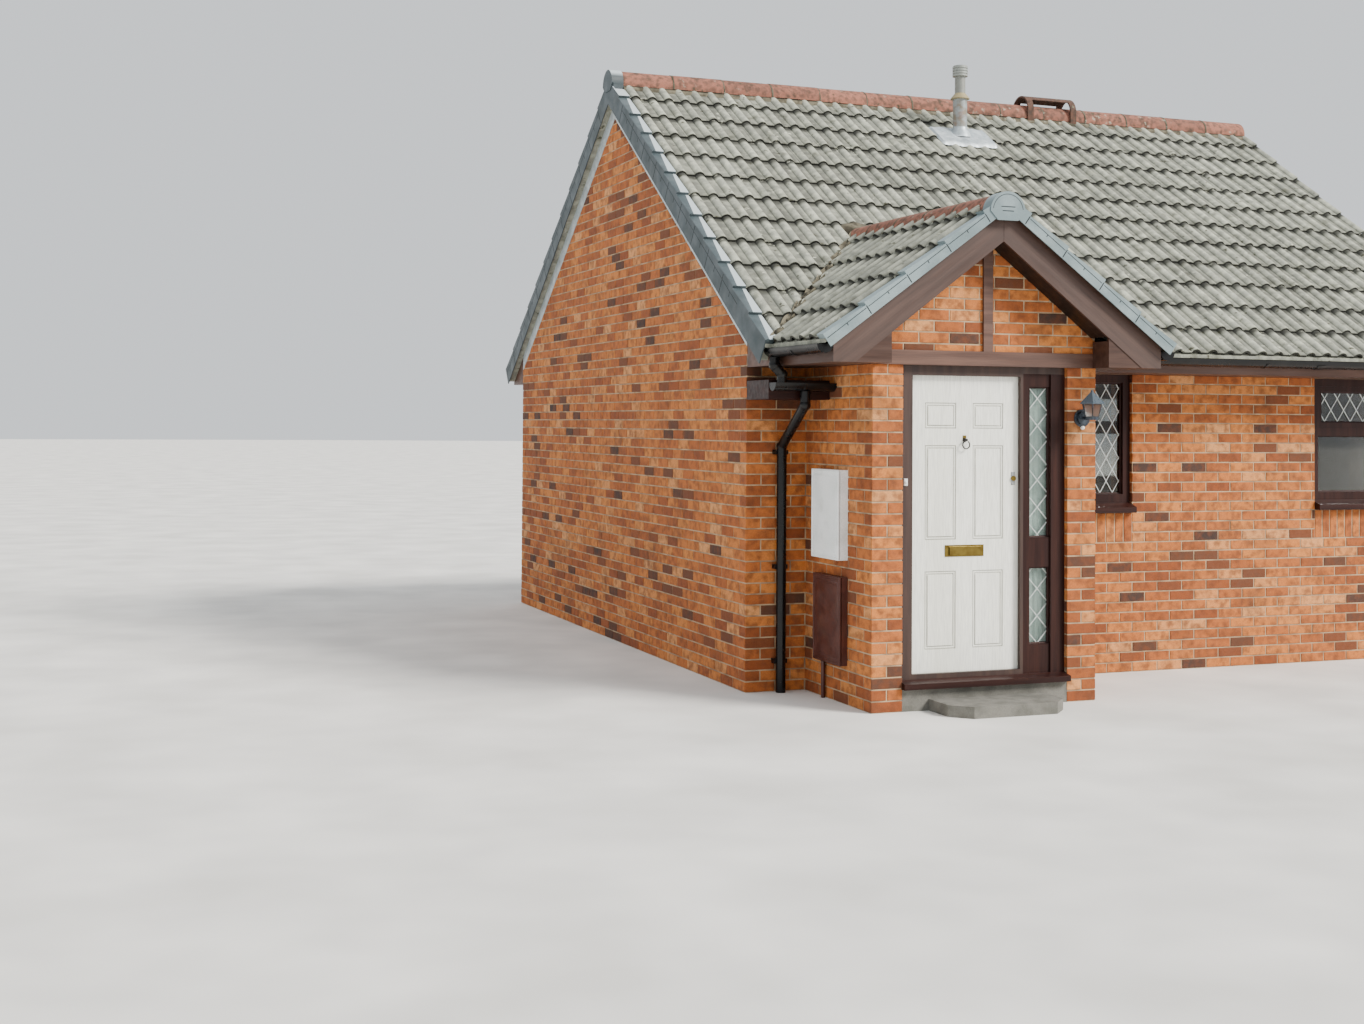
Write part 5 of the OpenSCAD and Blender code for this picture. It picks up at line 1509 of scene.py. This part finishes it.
@dataclass
class Rainwater:
    """Half-round gutters with brackets and unions, their pipes, and the low box's closed end.

    Rim is the height of the gutters, and drop how much lower the one on the low box hangs.
    """

    radius: float = 0.056
    rim: float = 2.349
    drop: float = 0.225

    def strap(self, shell: Shell, at: np.ndarray, run: np.ndarray, wide: float, thick: float
              ) -> None:
        """Adds a strap under the gutter.

        It is at + run w + (radius + t) (cos a side + sin a up), with a from 210 to 330 degrees.

        Args:
            shell: Where it goes.
            at: Middle of the gutter.
            run: Direction of the gutter.
            wide: Width of the strap.
            thick: Its thickness.
        """
        angle = np.radians(np.linspace(210, 330, 13))
        ring = np.cos(angle)[:, None] * np.cross(run, UP) + np.sin(angle)[:, None] * UP
        w = vec(-0.5, -0.5, -0.4, 0.4, 0.5, 0.5) * wide
        r = self.radius + vec(0, 0.7, 1, 1, 0.7, 0) * thick
        shell.grid((at + w[:, None, None] * run + r[:, None, None] * ring)[::-1])

    def build(self) -> None:
        """Adds brackets every 0.9 m and a union on each long run, and dresses gutters and pipes."""
        shell = Shell()
        front, back = Y0 - GUTTER_OUT, Y1 + GUTTER_OUT
        runs = ((vec(-0.755, front, self.rim), EAST, 4.02), (vec(X0, back, self.rim), EAST, 6.53),
                (vec(X0, front, self.rim - self.drop), EAST, 0.45),
                (vec(PX1 + GUTTER_OUT, BARGE_Y, self.rim), NORTH, 0.72),
                (vec(PX0 - GUTTER_OUT, BARGE_Y, self.rim), NORTH, 0.84))
        for start, run, length in runs:
            count = max(round(length / 0.9), 1)
            for i in range(count):
                self.strap(shell, start + run * (i + 0.5) * length / count, run, 0.026, 0.004)
            if length > 3:
                self.strap(shell, start + run * length * 0.5, run, 0.075, 0.005)
        shell.piece("gutter_brackets", BLACK_PVC, "black_pvc", smooth=40)
        low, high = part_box("low_eaves_box")
        end, thick = Shell(), 0.004
        board(end, vec(low[0] + 0.001, high[1] + thick, low[2]), SOUTH,
              (high[1] - low[1] + thick, high[2] - low[2]), thick)
        end.piece("low_eaves_end", MAHOGANY_ACROSS, "stained_wood")
        dress(BLACK_PVC, "main_gutters", "porch_gutters", "downpipes")


@dataclass
class Meters:
    """The electric and the gas meter box on the porch's left wall, with hinged doors."""

    y: tuple[float, float] = (-3.64975, -3.22975)
    rim: tuple[float, ...] = (0.006, 0, 0.008, 0.0025, 0.016, 0.0025, 0.019, 0)
    bead: tuple[float, ...] = (0.034, 0, 0.038, 0.0015, 0.046, 0.0015, 0.050, 0)

    def door(self, name: str, body: Body, finish: Finish, slot: str, x: float,
             z: tuple[float, float]) -> None:
        """Adds a rim, a pressed panel's bead and a lock to a door.

        Args:
            name: Name of the piece.
            body: Body of the door.
            finish: What it is made of.
            slot: Material slot of the record.
            x: Plane of the door's face.
            z: Foot and head of the door.
        """
        shell = Shell()
        for section in (self.rim, self.bead):
            mould(shell, vec(x, self.y[1], z[0]), SOUTH, (self.y[1] - self.y[0], z[1] - z[0]),
                  pairs(*section))
        turned(shell, vec(x, self.y[0] + 0.028, (z[0] + z[1]) / 2), WEST,
               pairs(0.013, 0, 0.0125, 0.003, 0.009, 0.0035, 0.007, 0.001, 0, 0.001), 18)
        shell.piece(name, finish, slot, body, smooth=35)

    def build(self) -> None:
        """Adds both doors' mouldings and dresses boxes and doors."""
        self.door("electric_door_panel", Body.ELECTRIC, WHITE_GRP, "white_grp", PX0 - 0.073,
                  (0.951, 1.546))
        self.door("gas_door_panel", Body.GAS, BROWN_PLASTIC, "brown_plastic", PX0 - 0.059,
                  (0.257, 0.839))
        dress(WHITE_GRP, "electric_meter_box", "electric_meter_door")
        dress(BROWN_PLASTIC, "gas_meter_box", "gas_meter_door")


@dataclass
class Fittings:
    """The lantern beside the door, the flue and the leadwork.

    Slate is half the width of the flue's lead slate, and its reach below and above the pipe.
    """

    lantern: np.ndarray = field(default_factory=lambda: vec(-1.2425, -4.11875, 1.913))
    lens_z: float = 1.837
    slate: tuple[float, float, float] = (0.28, 0.22, 0.13)

    def light(self) -> None:
        """Adds the lantern's six bars, its finial and the sensor's lens."""
        shell = Shell()
        angle = np.arange(6) * math.pi / 3
        spoke = np.stack([np.cos(angle), np.sin(angle), 0 * angle], axis=1)
        foot = self.lantern + spoke * 0.0475
        head = self.lantern + spoke * 0.0675 + UP * 0.083
        for i in range(6):
            bars(shell, foot[i:i + 1], head[i:i + 1], spoke[i], 0.009, 0.004)
        turned(shell, self.lantern + UP * 0.165, UP,
               pairs(0.008, 0, 0.011, 0.004, 0.008, 0.010, 0.004, 0.0125, 0, 0.0135), 14)
        shell.piece("lantern_bars", LANTERN, "black_metal", smooth=40)

    def lens(self) -> None:
        """Adds the ball of the sensor: radius 14.6 mm."""
        shell = Shell()
        t = np.radians(np.linspace(-90, 90, 13))
        turned(shell, vec(self.lantern[0], PY - 0.016, self.lens_z), UP,
               0.0146 * np.stack([np.cos(t), np.sin(t)], axis=1), 20)
        shell.piece("sensor_lens", LENS, "black_metal", smooth=60)

    def apron(self) -> None:
        """Adds the flue's lead slate over the rolls: h = 48 + 4 cos(2 pi u / 150) mm."""
        half, below, above = self.slate
        low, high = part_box("vent_pipe")
        x, y = (low[0] + high[0]) / 2, (low[1] + high[1]) / 2
        s = (y - EAVES_Y) / MAIN_COS
        u = np.linspace(-half, half, 33)[None, :]
        v = np.linspace(-below, above, 15)[:, None]
        h = 0.048 + 0.004 * np.cos(2 * math.pi * u / 0.15) + 0.003 * np.sin(7 * v + 9 * u)
        edge = np.minimum(half - np.abs(u), np.minimum(v + below, above - v))
        h = np.where(edge < 0.001, h - 0.022, h)
        u, v, h = (a[..., None] for a in np.broadcast_arrays(u, v, h))
        shell = Shell()
        shell.grid(vec(x, EAVES_Y, EAVES_Z) + u * EAST + (s + v) * MAIN_RISE + h * MAIN_NORMAL)
        turned(shell, vec(x, y, EAVES_Z + s * MAIN_SIN), UP,
               pairs(0.105, 0.0, 0.085, 0.045, 0.066, 0.075, 0.0615, 0.11, 0.0615, 0.19, 0.0585,
                     0.192), 24)
        shell.piece("flue_apron", LEAD, "lead", smooth=50)

    def build(self) -> None:
        """Adds lantern bars, lens and apron, and dresses lantern, flue and lead."""
        self.light()
        self.apron()
        self.lens()
        dress(LANTERN, "wall_lantern")
        dress(FROSTED, "lantern_glass")
        dress(FLUE, "vent_pipe")
        dress(LEAD, "leadwork")


@dataclass
class Studio:
    """The photograph's camera, a plain pale floor and soft light.

    Angles are in degrees. Focal and row are in pixels of the picture: the focal length, and the
    row that the optical axis meets.
    """

    eye: tuple[float, float, float] = (-7.6525, -13.48675, 1.847)
    yaw: float = 20.419
    pitch: float = 1.3
    roll: float = 0.386
    focal: float = 1649.7
    row: float = 386.1
    sensor: float = 36.0
    floor_radius: float = 150.0
    sun_power: float = 5.8
    sun_width: float = 20.0
    sun_colour: tuple[float, float, float] = (1.0, 0.96, 0.90)
    sun_from: tuple[float, float, float] = (0.78, -0.72, 0.80)
    sky_power: float = 1.1
    sky_colour: str = "eef2f6"

    def camera(self) -> None:
        """Places the camera: a level look, yawed, raised and rolled, and shifted down the frame."""
        yaw, pitch, roll = (math.radians(a) for a in (self.yaw, self.pitch, self.roll))
        ahead = vec(math.sin(yaw) * math.cos(pitch), math.cos(yaw) * math.cos(pitch),
                    math.sin(pitch))
        level = vec(math.cos(yaw), -math.sin(yaw), 0)
        above = np.cross(level, ahead)
        right = math.cos(roll) * level + math.sin(roll) * above
        up = -math.sin(roll) * level + math.cos(roll) * above
        data = bpy.data.cameras.new("camera")
        data.sensor_width = self.sensor
        data.lens = self.focal * self.sensor / IMAGE[0]
        data.shift_y = (self.row - IMAGE[1] / 2) / IMAGE[0]
        data.clip_end = 500
        camera = bpy.data.objects.new("camera", data)
        turn = Matrix(np.stack([right, up, -ahead], axis=1).tolist()).to_4x4()
        camera.matrix_world = Matrix.Translation(Vector(self.eye)) @ turn
        bpy.context.scene.collection.objects.link(camera)
        bpy.context.scene.camera = camera

    def floor(self) -> None:
        """Lays the floor: a disc of 64 corners."""
        mesh = bpy.data.meshes.new("floor")
        ring = np.radians(np.arange(64) * 360 / 64)
        rim = self.floor_radius * np.stack([np.cos(ring), np.sin(ring), 0 * ring], axis=1)
        mesh.from_pydata(rim.tolist(), [], [list(range(64))])
        mesh.materials.append(STUDIO_FLOOR.material())
        floor = bpy.data.objects.new("floor", mesh)
        bpy.context.scene.collection.objects.link(floor)

    def build(self) -> None:
        """Makes the camera, the floor, a soft sun and a pale sky."""
        self.camera()
        self.floor()
        sun = bpy.data.lights.new("sun", "SUN")
        sun.energy = self.sun_power
        sun.angle = math.radians(self.sun_width)
        sun.color = self.sun_colour
        lamp = bpy.data.objects.new("sun", sun)
        lamp.rotation_euler = Vector(self.sun_from).to_track_quat("Z", "Y").to_euler()
        bpy.context.scene.collection.objects.link(lamp)
        world = bpy.context.scene.world or bpy.data.worlds.new("sky")
        bpy.context.scene.world = world
        world.use_nodes = True
        back = world.node_tree.nodes.get("Background")
        back.inputs[0].default_value = linear(self.sky_colour)
        back.inputs[1].default_value = self.sky_power


def main() -> None:
    """Builds everything in order."""
    logging.basicConfig(level=logging.INFO, format="%(name)s: %(message)s")
    for part in (Studio(), Brickwork(), Roof(), Ridges(), Verges(), Windows(), Doorway(),
                 Rainwater(), Meters(), Fittings()):
        part.build()
        LOG.info("%s done", type(part).__name__)
    bpy.context.view_layer.update()


if __name__ == "__main__":
    main()
